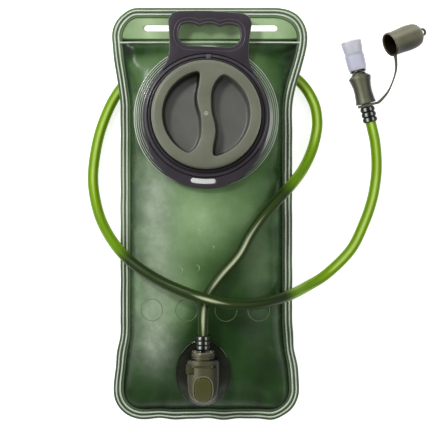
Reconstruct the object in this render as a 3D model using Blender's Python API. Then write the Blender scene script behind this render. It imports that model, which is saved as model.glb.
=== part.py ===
"""A two litre hydration bladder, full and lying on its back, with its hose, bite valve and dust cap.

Frame: metres, +X to the bag's right, +Y along the bag towards the handle, +Z out of its front.
The origin is under the middle of the bag, on the surface that it lies on.
"""

import math

import bmesh
import bpy
from mathutils import Matrix, Vector
from mathutils.geometry import delaunay_2d_cdt

# ---- Driving dimensions ----

GAP = 0.0003  # between pieces that touch
STEPS = 48  # sides of a large turned piece
SMALL_STEPS = 16  # sides of a small turned piece

# Bag
BAG_LENGTH = 0.380
BAG_WAIST = 0.158  # the filling draws a 180 mm wide bag in to this
TOP_FLARE = 0.0110  # each side widens by this towards the top edge
FOOT_FLARE = 0.0065  # and by this towards the foot
CORNER_RADIUS = 0.026
SEAM_MARGIN = 0.009
HANG_BAND = 0.030  # welded band above the water chamber
SEAM_HEIGHT = 0.024
BELLY_HEIGHT = 0.057
EDGE_RISE = 0.010  # the front wall stands up from the seam over this distance
FOOT_RISE = 0.080
TOP_RISE = 0.050
BACK_SIDE_RISE = 0.030
BACK_FOOT_RISE = 0.035
BACK_TOP_RISE = 0.062
FILM = 0.0009
HANG_SLOTS = ((0.0350, 0.0655), (-0.0575, -0.0290))  # where each starts and ends across the band
HANG_SLOT_WIDTH = 0.0056
HANG_SLOT_Y = 0.1715

# Fill port, in a frame that stands on the front film, its Z out through the cap
PORT_PLACE = (0.0, 0.0887, 0.044)
PORT_TILT = math.radians(-8)
FLAT_RADIUS = 0.0595  # the film is flat within this distance of the port's axis
SKIRT_FADE = 0.024  # and back in its free shape this much further out
NECK_BORE = 0.0430
NECK_RADIUS = 0.0460
NECK_TOP = 0.0130
FLANGE_RADIUS = 0.0668
FLANGE_THICKNESS = 0.0014
COLLAR_LOW = 0.0020
COLLAR_HIGH = 0.0085
HANDLE_HIGH = 0.0070
COLLAR_BORE = 0.0509
COLLAR_RADIUS = 0.0583
COLLAR_TURN = math.radians(-2.2)  # the handle stands this far round from the bag's middle line
LIP_RADIUS = 0.0673
SLOT_RADIUS = 0.0611
SLOT_HALF_ANGLE = math.radians(8.6)
SLOT_HALF_WIDTH = 0.0026
SLOT_ANGLE = math.radians(-92.6)
LIP_FULL = math.radians(10)  # the lip is widest this far to each side of its slot
LIP_FADE = math.radians(75)  # and gone this much further round
CAP_RADIUS = 0.0502
CAP_TOP = 0.0170
POCKET_RADIUS = 0.0403
POCKET_FLOOR = 0.0042
SKIRT_BORE = 0.0479
THREAD_LEAD = 0.0090
THREAD_STARTS = 2
THREAD_HALF_WIDTH = 0.00075

# Outlet, in a frame that stands on the front film, its Y towards the hose
OUTLET_PLACE = (-0.0028, -0.1406, 0.0512)
OUTLET_TILT = math.radians(11)
OUTLET_OVAL = (0.0252, 0.0317)  # half width and half length of its flange
OUTLET_OVAL_Y = -0.1466
OUTLET_FLAT = (0.0165, 0.0205)
OUTLET_FLAT_Y = -0.1450
OUTLET_FLANGE_THICKNESS = 0.0016
PLUG_AXIS = 0.0118
SOCKET_LOW = 0.0022
SOCKET_HIGH = 0.0220
SOCKET_MOUTH = 0.0177
SOCKET_BORE = 0.0066
CHAMBER_BORE = 0.0050
INLET_RADIUS = 0.0036
INLET_Y = -0.0070
BUTTON_Y = -0.0155
BUTTON_HALF = (0.0078, 0.0113)
BUTTON_SPRING_Y = -0.0178
LATCH_Y = 0.0058

# Hose
HOSE_RADIUS = 0.0050
HOSE_POINTS = 76
BARB_PITCH = 0.0042  # of the teeth that hold the hose at each end
BARBS = 3

# Bite valve, in a frame at the foot of its body, its Y towards the mouthpiece
VALVE_PLACE = (0.1490, 0.1022, 0.0106)
VALVE_TURN = math.radians(13.8)
DUST_CAP_LENGTH = 0.0355
DUST_CAP_PIVOT = (0.1600, 0.1035, 0.0)
DUST_CAP_MOUTH = (0.1700, 0.1563, 0.0236)
DUST_CAP_TURN = math.radians(-67.5)
DUST_CAP_PITCH = math.radians(-27)
STRAP_RADIUS = 0.0011

# Route of the hose: out of the plug, up the belly, right, down behind the top of the bag, out on the left,
# back over the belly and over itself, then out to the bite valve on the right.
HOSE_ROUTE = [
    (-0.0028, -0.1102, 0.0692),
    (-0.0028, -0.1042, 0.0704),
    (-0.0028, -0.0972, 0.0711),
    (-0.0025, -0.0902, 0.0709),
    (-0.0016, -0.0832, 0.0698),
    (0.0006, -0.0762, 0.0680),
    (0.0053, -0.0678, 0.0656),
    (0.0143, -0.0560, 0.0634),
    (0.0300, -0.0380, 0.0612),
    (0.0400, -0.0200, 0.0586),
    (0.0520, -0.0030, 0.0538),
    (0.0660, 0.0130, 0.0460),
    (0.0790, 0.0270, 0.0346),
    (0.0890, 0.0400, 0.0210),
    (0.0965, 0.0540, 0.0112),
    (0.1015, 0.0690, 0.0066),
    (0.1037, 0.0860, 0.0052),
    (0.0998, 0.1050, 0.0052),
    (0.0865, 0.1240, 0.0052),
    (0.0625, 0.1390, 0.0052),
    (0.0320, 0.1495, 0.0052),
    (0.0000, 0.1520, 0.0052),
    (-0.0320, 0.1490, 0.0052),
    (-0.0610, 0.1370, 0.0052),
    (-0.0835, 0.1120, 0.0052),
    (-0.0970, 0.0840, 0.0052),
    (-0.1040, 0.0560, 0.0052),
    (-0.1060, 0.0280, 0.0064),
    (-0.1000, -0.0010, 0.0140),
    (-0.0885, -0.0230, 0.0285),
    (-0.0740, -0.0400, 0.0440),
    (-0.0550, -0.0540, 0.0556),
    (-0.0310, -0.0665, 0.0690),
    (-0.0030, -0.0765, 0.0789),
    (0.0220, -0.0820, 0.0754),
    (0.0480, -0.0820, 0.0628),
    (0.0740, -0.0760, 0.0420),
    (0.0930, -0.0680, 0.0210),
    (0.1130, -0.0560, 0.0076),
    (0.1350, -0.0340, 0.0052),
    (0.1475, -0.0090, 0.0052),
    (0.1550, 0.0130, 0.0052),
    (0.1586, 0.0340, 0.0054),
    (0.1590, 0.0500, 0.0070),
    (0.1575, 0.0660, 0.0092),
    (0.1553, 0.0765, 0.0104),
    (0.1532, 0.0851, 0.0106),
]

# ---- Helpers ----


def clear_scene():
    for obj in list(bpy.data.objects):
        bpy.data.objects.remove(obj, do_unlink=True)


def material(name, colour, roughness, metallic=0.0):
    made = bpy.data.materials.new(name)
    made.use_nodes = True
    shader = made.node_tree.nodes["Principled BSDF"]
    shader.inputs["Base Color"].default_value = (*colour, 1.0)
    shader.inputs["Roughness"].default_value = roughness
    shader.inputs["Metallic"].default_value = metallic
    made.diffuse_color = (*colour, 1.0)
    return made


def frame_empty(name, place, turn=(0.0, 0.0, 0.0), parent=None):
    """An empty that stands where pieces are placed from, or on a joint's axis."""
    empty = bpy.data.objects.new(name, None)
    bpy.context.collection.objects.link(empty)
    empty.location = place
    empty.rotation_euler = turn
    empty.parent = parent
    return empty


def add_mesh(name, bm, finish=None, parent=None, place=(0.0, 0.0, 0.0)):
    """An object of this bmesh, its faces turned outwards and shaded smooth between its sharp edges."""
    bmesh.ops.recalc_face_normals(bm, faces=bm.faces)
    mesh = bpy.data.meshes.new(name)
    bm.to_mesh(mesh)
    bm.free()
    mesh.shade_smooth()
    mesh.set_sharp_from_angle(angle=math.radians(35))
    obj = bpy.data.objects.new(name, mesh)
    bpy.context.collection.objects.link(obj)
    obj.parent = parent
    obj.location = place
    if finish:
        mesh.materials.append(finish)
    return obj


def helper(name, bm, parent=None, place=(0.0, 0.0, 0.0)):
    """A shape that only cuts or joins, so it is no piece itself."""
    obj = add_mesh(name, bm, None, parent, place)
    obj.hide_render = True
    obj.display_type = "WIRE"
    return obj


def combine(obj, tool, operation, solver="EXACT"):
    """Joins the tool to the object or cuts it out. The manifold solver is for where the exact one leaves gaps."""
    step = obj.modifiers.new(f"{operation} {tool.name}", "BOOLEAN")
    step.operation = operation
    step.solver = solver
    step.object = tool


def smooth_step(value):
    value = min(max(value, 0.0), 1.0)
    return value * value * (3 - 2 * value)


def quarter_round(value):
    """Rises from 0 at 0 to 1 at 1 as a quarter of a circle does."""
    value = min(max(value, 0.0), 1.0)
    return math.sqrt(1 - (1 - value) ** 2)


def circle(radius, steps, centre=(0.0, 0.0), stretch=1.0):
    turn = 2 * math.pi / steps
    return [
        (centre[0] + radius * math.cos(i * turn), centre[1] + radius * stretch * math.sin(i * turn))
        for i in range(steps)
    ]


def arc(centre, radius, start, end, steps):
    """Points on an arc, its angles in degrees, both ends included."""
    angles = [math.radians(start + (end - start) * i / steps) for i in range(steps + 1)]
    return [(centre[0] + radius * math.cos(a), centre[1] + radius * math.sin(a)) for a in angles]


def smooth_curve(points, count):
    """Evenly spaced points on a Catmull-Rom curve through the given ones."""
    points = [Vector(p) for p in points]
    ends = [2 * points[0] - points[1], *points, 2 * points[-1] - points[-2]]
    fine = []
    for before, start, end, after in zip(ends, ends[1:], ends[2:], ends[3:]):
        for i in range(24):
            t = i / 24
            fine.append(
                0.5
                * (
                    2 * start
                    + (end - before) * t
                    + (2 * before - 5 * start + 4 * end - after) * t**2
                    + (3 * start - before - 3 * end + after) * t**3
                )
            )
    fine.append(points[-1])
    along = [0.0]
    for a, b in zip(fine, fine[1:]):
        along.append(along[-1] + (b - a).length)
    made = []
    place = 0
    for i in range(count):
        wanted = along[-1] * i / (count - 1)
        while place < len(along) - 2 and along[place + 1] < wanted:
            place += 1
        share = (wanted - along[place]) / (along[place + 1] - along[place])
        made.append(fine[place].lerp(fine[place + 1], min(share, 1.0)))
    return made


def turned(profile, steps=SMALL_STEPS, along_y=False):
    """A bmesh turned about Z, or about Y, from a profile of (radius, height) points that closes on itself."""
    bm = bmesh.new()
    rings = []
    for radius, height in profile:
        if radius == 0:
            rings.append([bm.verts.new((0, 0, height))] * steps)
        else:
            rings.append([bm.verts.new((x, y, height)) for x, y in circle(radius, steps)])
    for i, lower in enumerate(rings):
        upper = rings[(i + 1) % len(rings)]
        for j in range(steps):
            k = (j + 1) % steps
            corners = list(dict.fromkeys([lower[j], lower[k], upper[k], upper[j]]))
            if len(corners) > 2:
                bm.faces.new(corners)
    if along_y:
        bmesh.ops.rotate(bm, verts=bm.verts, matrix=Matrix.Rotation(-math.pi / 2, 3, "X"))
    return bm


def torus(radius, wire, height, steps, along_y=False):
    profile = [(radius + x, height + z) for x, z in circle(wire, 6)]
    return turned(profile, steps, along_y)


def loft(rings):
    """A bmesh through rings of points that match one to one, closed at both ends."""
    bm = bmesh.new()
    made = [[bm.verts.new(p) for p in ring] for ring in rings]
    for lower, upper in zip(made, made[1:]):
        for j in range(len(lower)):
            k = (j + 1) % len(lower)
            bm.faces.new([lower[j], lower[k], upper[k], upper[j]])
    bm.faces.new(made[0])
    bm.faces.new(made[-1])
    return bm


def inside(point, loop):
    x, y = point
    found = False
    for (x1, y1), (x2, y2) in zip(loop, loop[1:] + loop[:1]):
        if (y1 > y) != (y2 > y) and x < x1 + (y - y1) * (x2 - x1) / (y2 - y1):
            found = not found
    return found


def fill(loops, extra=()):
    """Triangles between the first loop and the others, which are holes, through the extra points."""
    points = []
    edges = []
    for loop in loops:
        start = len(points)
        points += [Vector(p) for p in loop]
        edges += [(start + i, start + (i + 1) % len(loop)) for i in range(len(loop))]
    points += [Vector(p) for p in extra]
    made, _, triangles, *_ = delaunay_2d_cdt(points, edges, [], 0, 1e-7)
    kept = []
    for triangle in triangles:
        middle = sum((made[i] for i in triangle), Vector((0, 0))) / 3
        if inside(middle, loops[0]) and not any(inside(middle, hole) for hole in loops[1:]):
            kept.append(tuple(triangle))
    return [tuple(p) for p in made], kept


def plate(loops, low, high):
    """A flat plate with straight sides: the first loop is its outline and the others are holes."""
    points, triangles = fill(loops)
    bm = bmesh.new()
    bottom = [bm.verts.new((x, y, low)) for x, y in points]
    top = [bm.verts.new((x, y, high)) for x, y in points]
    for a, b, c in triangles:
        bm.faces.new([top[a], top[b], top[c]])
        bm.faces.new([bottom[c], bottom[b], bottom[a]])
    for edge in [e for e in bm.edges if len(e.link_faces) == 1 and e.verts[0].co.z == top[0].co.z]:
        a, b = edge.verts
        under = {top[i]: bottom[i] for i in range(len(points)) if top[i] in (a, b)}
        bm.faces.new([a, b, under[b], under[a]])
    return bm


def box(low, high):
    x0, y0, z0 = low
    x1, y1, z1 = high
    ring = [(x0, y0), (x1, y0), (x1, y1), (x0, y1)]
    return loft([[(x, y, z) for x, y in ring] for z in (z0, z1)])


def cylinder(radius, low, high, steps=SMALL_STEPS, along_y=False):
    return turned([(0, low), (radius, low), (radius, high), (0, high)], steps, along_y)


def thread(root, crest, low, turns, start_angle):
    """One helical ridge from the root radius to the crest radius, rising by the lead each turn."""
    count = round(turns * STEPS)
    rings = []
    for i in range(count + 1):
        angle = start_angle + 2 * math.pi * i / STEPS
        height = low + THREAD_LEAD * i / STEPS
        half = THREAD_HALF_WIDTH
        section = [(root, -half * 1.5), (crest, -half * 0.6), (crest, half * 0.6), (root, half * 1.5)]
        rings.append([(r * math.cos(angle), r * math.sin(angle), height + z) for r, z in section])
    return loft(rings)


def tube(name, points, radius, finish, parent=None, sides=2):
    """A solid round cord through these points."""
    data = bpy.data.curves.new(name, "CURVE")
    data.dimensions = "3D"
    data.bevel_depth = radius
    data.bevel_resolution = sides
    data.use_fill_caps = True
    spline = data.splines.new("POLY")
    spline.points.add(len(points) - 1)
    for target, point in zip(spline.points, points):
        target.co = (*point, 1.0)
    data.materials.append(finish)
    obj = bpy.data.objects.new(name, data)
    bpy.context.collection.objects.link(obj)
    obj.parent = parent
    return obj


def coil(name, radius, wire, low, high, turns, finish, parent, along_y=False):
    """A compression spring."""
    count = round(turns * 10)
    points = []
    for i in range(count + 1):
        angle = 2 * math.pi * i / 10
        height = low + wire + (high - low - 2 * wire) * i / count
        x, y = radius * math.cos(angle), radius * math.sin(angle)
        points.append((x, height, -y) if along_y else (x, y, height))
    return tube(name, points, wire, finish, parent, sides=0)


# ---- Bag films ----


def side_at(y):
    """Half the bag's width at y, before its corners are rounded."""
    top = TOP_FLARE * smooth_step((y - 0.095) / 0.070)
    foot = FOOT_FLARE * smooth_step((-0.100 - y) / 0.064)
    return BAG_WAIST / 2 + top + foot


def bag_loop(inset, foot, top, foot_radius, top_radius, spacing):
    """The bag's outline moved in by inset, counter-clockwise, between the heights foot and top."""
    low_y, high_y = foot + foot_radius, top - top_radius
    low_x, high_x = side_at(low_y) - inset - foot_radius, side_at(high_y) - inset - top_radius
    rows = round((high_y - low_y) / spacing)
    across = round(low_x / spacing)
    right = [(low_x * i / across, foot) for i in range(across)]
    right += arc((low_x, low_y), foot_radius, -90, 0, 5)
    heights = [low_y + (high_y - low_y) * i / rows for i in range(1, rows)]
    right += [(side_at(y) - inset, y) for y in heights]
    right += arc((high_x, high_y), top_radius, 0, 90, 5)
    right += [(high_x * (1 - i / across), top) for i in range(1, across + 1)]
    left = [(-x, y) for x, y in reversed(right[1:-1])]
    return right + left


def outer_loop():
    half = BAG_LENGTH / 2
    return bag_loop(0, -half, half, CORNER_RADIUS, CORNER_RADIUS, 0.016)


def chamber_loop(inset=0.0):
    """The inner edge of the seam, or a line this far inside it."""
    half = BAG_LENGTH / 2
    foot_radius = max(CORNER_RADIUS - SEAM_MARGIN - inset * 0.5, 0.006)
    top = half - HANG_BAND - inset
    foot = -half + SEAM_MARGIN + inset
    return bag_loop(SEAM_MARGIN + inset, foot, top, foot_radius, 0.010, 0.014)


def from_seam(x, y):
    """How far a point is inside the chamber from its side, its foot and its top, and from the nearest of them."""
    side = side_at(y) - SEAM_MARGIN - abs(x)
    foot = y + BAG_LENGTH / 2 - SEAM_MARGIN
    top = BAG_LENGTH / 2 - HANG_BAND - y
    nearest = min(side, foot, top)
    for end, radius in ((foot, CORNER_RADIUS - SEAM_MARGIN), (top, 0.010)):
        if side < radius and end < radius:
            nearest = min(nearest, radius - math.hypot(radius - side, radius - end))
    return side, foot, top, nearest


def port_plane(y):
    return PORT_PLACE[2] + math.tan(PORT_TILT) * (y - PORT_PLACE[1])


def outlet_plane(y):
    return OUTLET_PLACE[2] + math.tan(OUTLET_TILT) * (y - OUTLET_PLACE[1])


def front_height(x, y):
    """Height of the front film's outer face."""
    seam = SEAM_HEIGHT + GAP / 2 + FILM
    side, foot, top, nearest = from_seam(x, y)
    if nearest <= 0:
        return seam
    width = side_at(y) - SEAM_MARGIN
    crest = -0.0015 * math.log(math.exp(-BELLY_HEIGHT / 0.0015) + math.exp(-port_plane(y) / 0.0015))
    crown = math.sqrt(max(1 - (abs(x) / width) ** 2.2, 0.0))
    free = seam + (crest - seam) * crown * quarter_round(foot / FOOT_RISE) * quarter_round(top / TOP_RISE)
    from_port = math.hypot(x, (y - PORT_PLACE[1]) / math.cos(PORT_TILT)) - FLAT_RADIUS
    port_share = 1 - smooth_step(from_port / SKIRT_FADE)
    free += (port_plane(y) - free) * port_share
    flat = math.hypot((x - OUTLET_PLACE[0]) / OUTLET_FLAT[0], (y - OUTLET_FLAT_Y) / OUTLET_FLAT[1])
    free += (outlet_plane(y) - free) * (1 - smooth_step((flat - 1) / 0.6))
    return seam + (free - seam) * quarter_round(nearest / EDGE_RISE)


def over_front(x, y):
    """Where a flange welded to the front film starts."""
    return front_height(x, y) + GAP


def back_height(x, y):
    """Height of the back film's outer face, which lies flat on the ground away from its seam."""
    seam = SEAM_HEIGHT - GAP / 2 - FILM
    side, foot, top, nearest = from_seam(x, y)
    if nearest <= 0:
        return seam
    top_share = 1 - (1 - min(top / BACK_TOP_RISE, 1.0)) ** 1.3
    landed = quarter_round(side / BACK_SIDE_RISE) * quarter_round(foot / BACK_FOOT_RISE) * top_share
    return seam * (1 - landed)


def hang_slot(left, right):
    radius = HANG_SLOT_WIDTH / 2
    high = arc((right - radius, HANG_SLOT_Y), radius, -90, 90, 4)
    low = arc((left + radius, HANG_SLOT_Y), radius, 90, 270, 4)
    return high + low


def hang_slots():
    return [hang_slot(*ends) for ends in HANG_SLOTS]


def around_port(radius, steps=36):
    return circle(radius, steps, PORT_PLACE[:2], math.cos(PORT_TILT))


def around_outlet(share, steps=24):
    wide, long = OUTLET_OVAL
    return circle(wide * share, steps, (OUTLET_PLACE[0], OUTLET_OVAL_Y), long / wide)


def near_port(x, y, radius):
    return math.hypot(x, (y - PORT_PLACE[1]) / math.cos(PORT_TILT)) < radius


def near_outlet(x, y, share):
    wide, long = OUTLET_OVAL
    return math.hypot((x - OUTLET_PLACE[0]) / wide, (y - OUTLET_OVAL_Y) / long) < share


def inlet_loop():
    place = (OUTLET_PLACE[0], OUTLET_PLACE[1] + INLET_Y * math.cos(OUTLET_TILT))
    return circle(INLET_RADIUS, 12, place)


def chamber_points(insets, spacing):
    """Points on lines that follow the seam, and on a grid inside them."""
    made = [p for inset in insets for p in chamber_loop(inset)]
    columns = round(0.060 / spacing)
    rows = round(0.150 / spacing)
    for row in range(-rows, rows + 1):
        for column in range(-columns, columns + 1):
            x, y = column * spacing, row * spacing
            if from_seam(x, y)[3] > insets[-1] + spacing * 0.6:
                made.append((x, y))
    return made


def front_layout():
    """The front wall's triangles in plan, which its film and both flanges share."""
    rings = [around_port(r) for r in (0.0500, FLAT_RADIUS, 0.0632, FLANGE_RADIUS)]
    rings += [around_outlet(share) for share in (0.4, 0.68, 0.86, 1.0)]
    extra = [p for ring in rings for p in ring if from_seam(*p)[3] > 0.0008]
    for point in chamber_loop() + chamber_points((0.0018, 0.0070, 0.0170), 0.025):
        port_clear = not near_port(*point, FLANGE_RADIUS + 0.0025)
        if port_clear and not near_outlet(*point, 1.06):
            extra.append(point)
    return fill([outer_loop(), around_port(NECK_RADIUS + GAP), inlet_loop(), *hang_slots()], extra)


def wall(name, layout, height, thickness, outwards, finish):
    """A skin of this thickness over these triangles, built out from the surface, or in from it."""
    points, triangles = layout
    bm = bmesh.new()
    used = sorted({i for triangle in triangles for i in triangle})
    verts = {i: bm.verts.new((*points[i], height(*points[i]))) for i in used}
    for a, b, c in triangles:
        bm.faces.new([verts[a], verts[b], verts[c]])
    obj = add_mesh(name, bm, finish)
    up = obj.data.polygons[0].normal.z > 0
    skin = obj.modifiers.new("Skin", "SOLIDIFY")
    skin.thickness = thickness
    skin.offset = 1 if up == outwards else -1
    skin.use_rim = True
    return obj


def part_of(layout, test):
    """The triangles whose three corners all pass the test."""
    points, triangles = layout
    return points, [t for t in triangles if all(test(*points[i]) for i in t)]


def add_films(port, finishes):
    layout = front_layout()
    wall("front_film", layout, front_height, FILM, False, finishes["film"])
    under = chamber_loop() + chamber_points((0.0030, 0.0110, 0.0270), 0.040)
    back = fill([outer_loop(), *hang_slots()], under)
    wall("back_film", back, back_height, FILM, True, finishes["film"])
    near = part_of(layout, lambda x, y: near_port(x, y, FLANGE_RADIUS + 1e-5))
    flange = wall("weld_flange", near, over_front, FLANGE_THICKNESS, True, finishes["clear"])
    boss = plate([lip_slot(GAP)], FLANGE_THICKNESS / 2, HANDLE_HIGH - 0.0006)
    combine(flange, helper("lip_boss", boss, port), "UNION")
    near = part_of(layout, lambda x, y: near_outlet(x, y, 1.0001))
    wall("outlet_flange", near, over_front, OUTLET_FLANGE_THICKNESS, True, finishes["smoked"])


# ---- Fill port ----


def add_neck(port, finishes):
    profile = [
        (NECK_BORE, -0.0034),
        (0.0510, -0.0034),
        (0.0510, -FILM - GAP),
        (NECK_RADIUS, -FILM - GAP),
        (NECK_RADIUS, NECK_TOP),
        (NECK_BORE, NECK_TOP),
    ]
    neck = add_mesh("threaded_neck", turned(profile, STEPS), finishes["collar"], port)
    for i in range(THREAD_STARTS):
        angle = 2 * math.pi * i / THREAD_STARTS
        ridge = thread(NECK_RADIUS - 0.0008, NECK_RADIUS + 0.0011, 0.0054, 0.5, angle)
        combine(neck, helper(f"neck_thread_{i}", ridge, port), "UNION")


def handle_side():
    """The right side of the handle, up from the ring to the middle of its top edge."""
    side = [(0.0452, 0.0381), (0.0418, 0.0428), (0.0392, 0.0478), (0.0374, 0.0533)]
    side += [(0.0366, 0.0593), (0.0366, 0.0673), (0.0374, 0.0773)]
    corner = arc((0.0285, 0.0868), 0.0100, 0, 90, 5)
    return side + corner + [(0.0140, 0.0977), (0.0, 0.0981)]


def turned_loop(loop, angle):
    c, s = math.cos(angle), math.sin(angle)
    return [(x * c - y * s, x * s + y * c) for x, y in loop]


def collar_outline():
    right = handle_side()
    left = [(-x, y) for x, y in reversed(right[:-1])]
    start = math.atan2(left[-1][1], left[-1][0])
    end = math.atan2(right[0][1], right[0][0]) + 2 * math.pi
    ring = []
    for i in range(1, 44):
        angle = start + (end - start) * i / 44
        from_lip = abs(angle + COLLAR_TURN - SLOT_ANGLE - 2 * math.pi)
        reach = 1 - smooth_step((from_lip - LIP_FULL) / LIP_FADE)
        radius = COLLAR_RADIUS + (LIP_RADIUS - COLLAR_RADIUS) * reach
        ring.append((radius * math.cos(angle), radius * math.sin(angle)))
    return turned_loop(right + left + ring, COLLAR_TURN)


def finger_opening():
    """The handle's opening, its upper edge in three scallops."""
    low, cusp, half, corner = 0.0647, 0.0833, 0.0093, 0.0105
    sagitta = 0.0030
    radius = (half**2 + sagitta**2) / (2 * sagitta)
    sweep = math.degrees(math.asin(half / radius))
    bottom = arc((-0.0181, low + corner), corner, 180, 270, 5) + arc((0.0181, low + corner), corner, 270, 360, 5)
    end = [(0.0283, 0.0795), (0.0272, 0.0824)]
    top = []
    for middle in (2 * half, 0.0, -2 * half):
        centre = (middle, cusp + sagitta - radius)
        top += arc(centre, radius, 90 - sweep, 90 + sweep, 5)[1:-1]
        if middle > -half:
            top.append((middle - half, cusp))
    other_end = [(-x, y) for x, y in reversed(end)]
    return turned_loop(bottom + end + top + other_end, COLLAR_TURN)


def lip_slot(clearance=0.0):
    inner = SLOT_RADIUS - SLOT_HALF_WIDTH + clearance
    outer = SLOT_RADIUS + SLOT_HALF_WIDTH - clearance
    middle = math.degrees(SLOT_ANGLE)
    half = math.degrees(SLOT_HALF_ANGLE)
    low = arc((0, 0), outer, middle - half, middle + half, 8)
    high = arc((0, 0), inner, middle + half, middle - half, 8)
    ends = []
    for side, start in ((half, middle), (-half, middle + 180)):
        angle = math.radians(middle + side)
        centre = (SLOT_RADIUS * math.cos(angle), SLOT_RADIUS * math.sin(angle))
        ends.append(arc(centre, SLOT_HALF_WIDTH - clearance, start + side, start + side + 180, 6)[1:-1])
    return low + ends[0] + high + ends[1]


def add_collar(port, finishes):
    loops = [collar_outline(), circle(COLLAR_BORE, STEPS), finger_opening(), lip_slot()]
    collar = add_mesh("grip_collar", plate(loops, COLLAR_LOW, HANDLE_HIGH), finishes["collar"], port)
    inner = NECK_RADIUS + 0.0016
    low = COLLAR_LOW
    rim = [
        (inner, low),
        (COLLAR_RADIUS - 0.0003, low),
        (COLLAR_RADIUS - 0.0003, COLLAR_HIGH - 0.001),
        (COLLAR_RADIUS - 0.0015, COLLAR_HIGH),
        (COLLAR_BORE, COLLAR_HIGH),
        (COLLAR_BORE, low + 0.0016),
        (inner, low + 0.0016),
    ]
    combine(collar, helper("collar_rim", turned(rim, STEPS), port), "UNION", "MANIFOLD")
    stop = box((-0.0020, 0.0530, COLLAR_HIGH - 0.0010), (0.0020, 0.0568, COLLAR_HIGH + 0.0010))
    bmesh.ops.rotate(stop, verts=stop.verts, matrix=Matrix.Rotation(COLLAR_TURN, 3, "Z"))
    combine(collar, helper("collar_stop", stop, port), "UNION", "MANIFOLD")


def grip_bar():
    """Plan of the S-shaped bar across the cap, both ends buried in its rim."""
    left = [(-0.0054, 0.0405), (-0.0064, 0.0286), (-0.0084, 0.0172), (-0.0075, 0.0080), (-0.0050, -0.0011)]
    left += [(-0.0043, -0.0126), (-0.0050, -0.0217), (-0.0091, -0.0309), (-0.0160, -0.0372)]
    right = [(-x, -y) for x, y in left]
    return [tuple(p)[:2] for p in smooth_curve([(x, y, 0) for x, y in left], 15)] + [
        tuple(p)[:2] for p in smooth_curve([(x, y, 0) for x, y in right], 15)
    ]


def add_cap(port, finishes):
    roof = CAP_TOP - 0.0020
    profile = [
        (0, POCKET_FLOOR - 0.0016),
        (0.0423, POCKET_FLOOR - 0.0016),
        (0.0423, roof),
        (SKIRT_BORE, roof),
        (SKIRT_BORE, 0.0044),
        (CAP_RADIUS, 0.0044),
        (CAP_RADIUS, CAP_TOP - 0.0012),
        (CAP_RADIUS - 0.0012, CAP_TOP),
        (POCKET_RADIUS + 0.0012, CAP_TOP),
        (POCKET_RADIUS, CAP_TOP - 0.0012),
        (POCKET_RADIUS, POCKET_FLOOR),
        (0, POCKET_FLOOR),
    ]
    cap = add_mesh("screw_cap", turned(profile, STEPS), finishes["cap"], port)
    bar = plate([grip_bar()], POCKET_FLOOR - 0.0008, CAP_TOP - 0.0004)
    combine(cap, helper("cap_grip_bar", bar, port), "UNION")
    combine(cap, helper("cap_pip", cylinder(0.0014, CAP_TOP - 0.002, CAP_TOP + 0.0003, 12), port), "UNION")
    for i in range(THREAD_STARTS):
        angle = 2 * math.pi * i / THREAD_STARTS + math.radians(60)
        low = 0.0054 + THREAD_LEAD * (60 / 360 - 1 / 2 / THREAD_STARTS) + THREAD_LEAD / THREAD_STARTS
        ridge = thread(SKIRT_BORE + 0.0008, SKIRT_BORE - 0.0009, low, 0.4, angle)
        combine(cap, helper(f"cap_thread_{i}", ridge, port), "UNION", "MANIFOLD")
    gasket = torus(0.0446, 0.00075, NECK_TOP + GAP + 0.00075, STEPS)
    add_mesh("cap_gasket", gasket, finishes["seal"], port)


# ---- Outlet quick connect ----


def socket_ring(y, half_width, half_height, power=2.6, steps=28):
    middle = (SOCKET_LOW + SOCKET_HIGH) / 2
    ring = []
    for i in range(steps):
        angle = 2 * math.pi * i / steps
        c, s = math.cos(angle), math.sin(angle)
        x = half_width * math.copysign(abs(c) ** (2 / power), c)
        z = middle + half_height * math.copysign(abs(s) ** (2 / power), s)
        ring.append((x, y, z))
    return ring


def oval(half_wide, half_long, steps=24, power=2.5):
    ring = []
    for i in range(steps):
        angle = 2 * math.pi * i / steps
        c, s = math.cos(angle), math.sin(angle)
        ring.append(
            (
                half_wide * math.copysign(abs(c) ** (2 / power), c),
                half_long * math.copysign(abs(s) ** (2 / power), s),
            )
        )
    return ring


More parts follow.
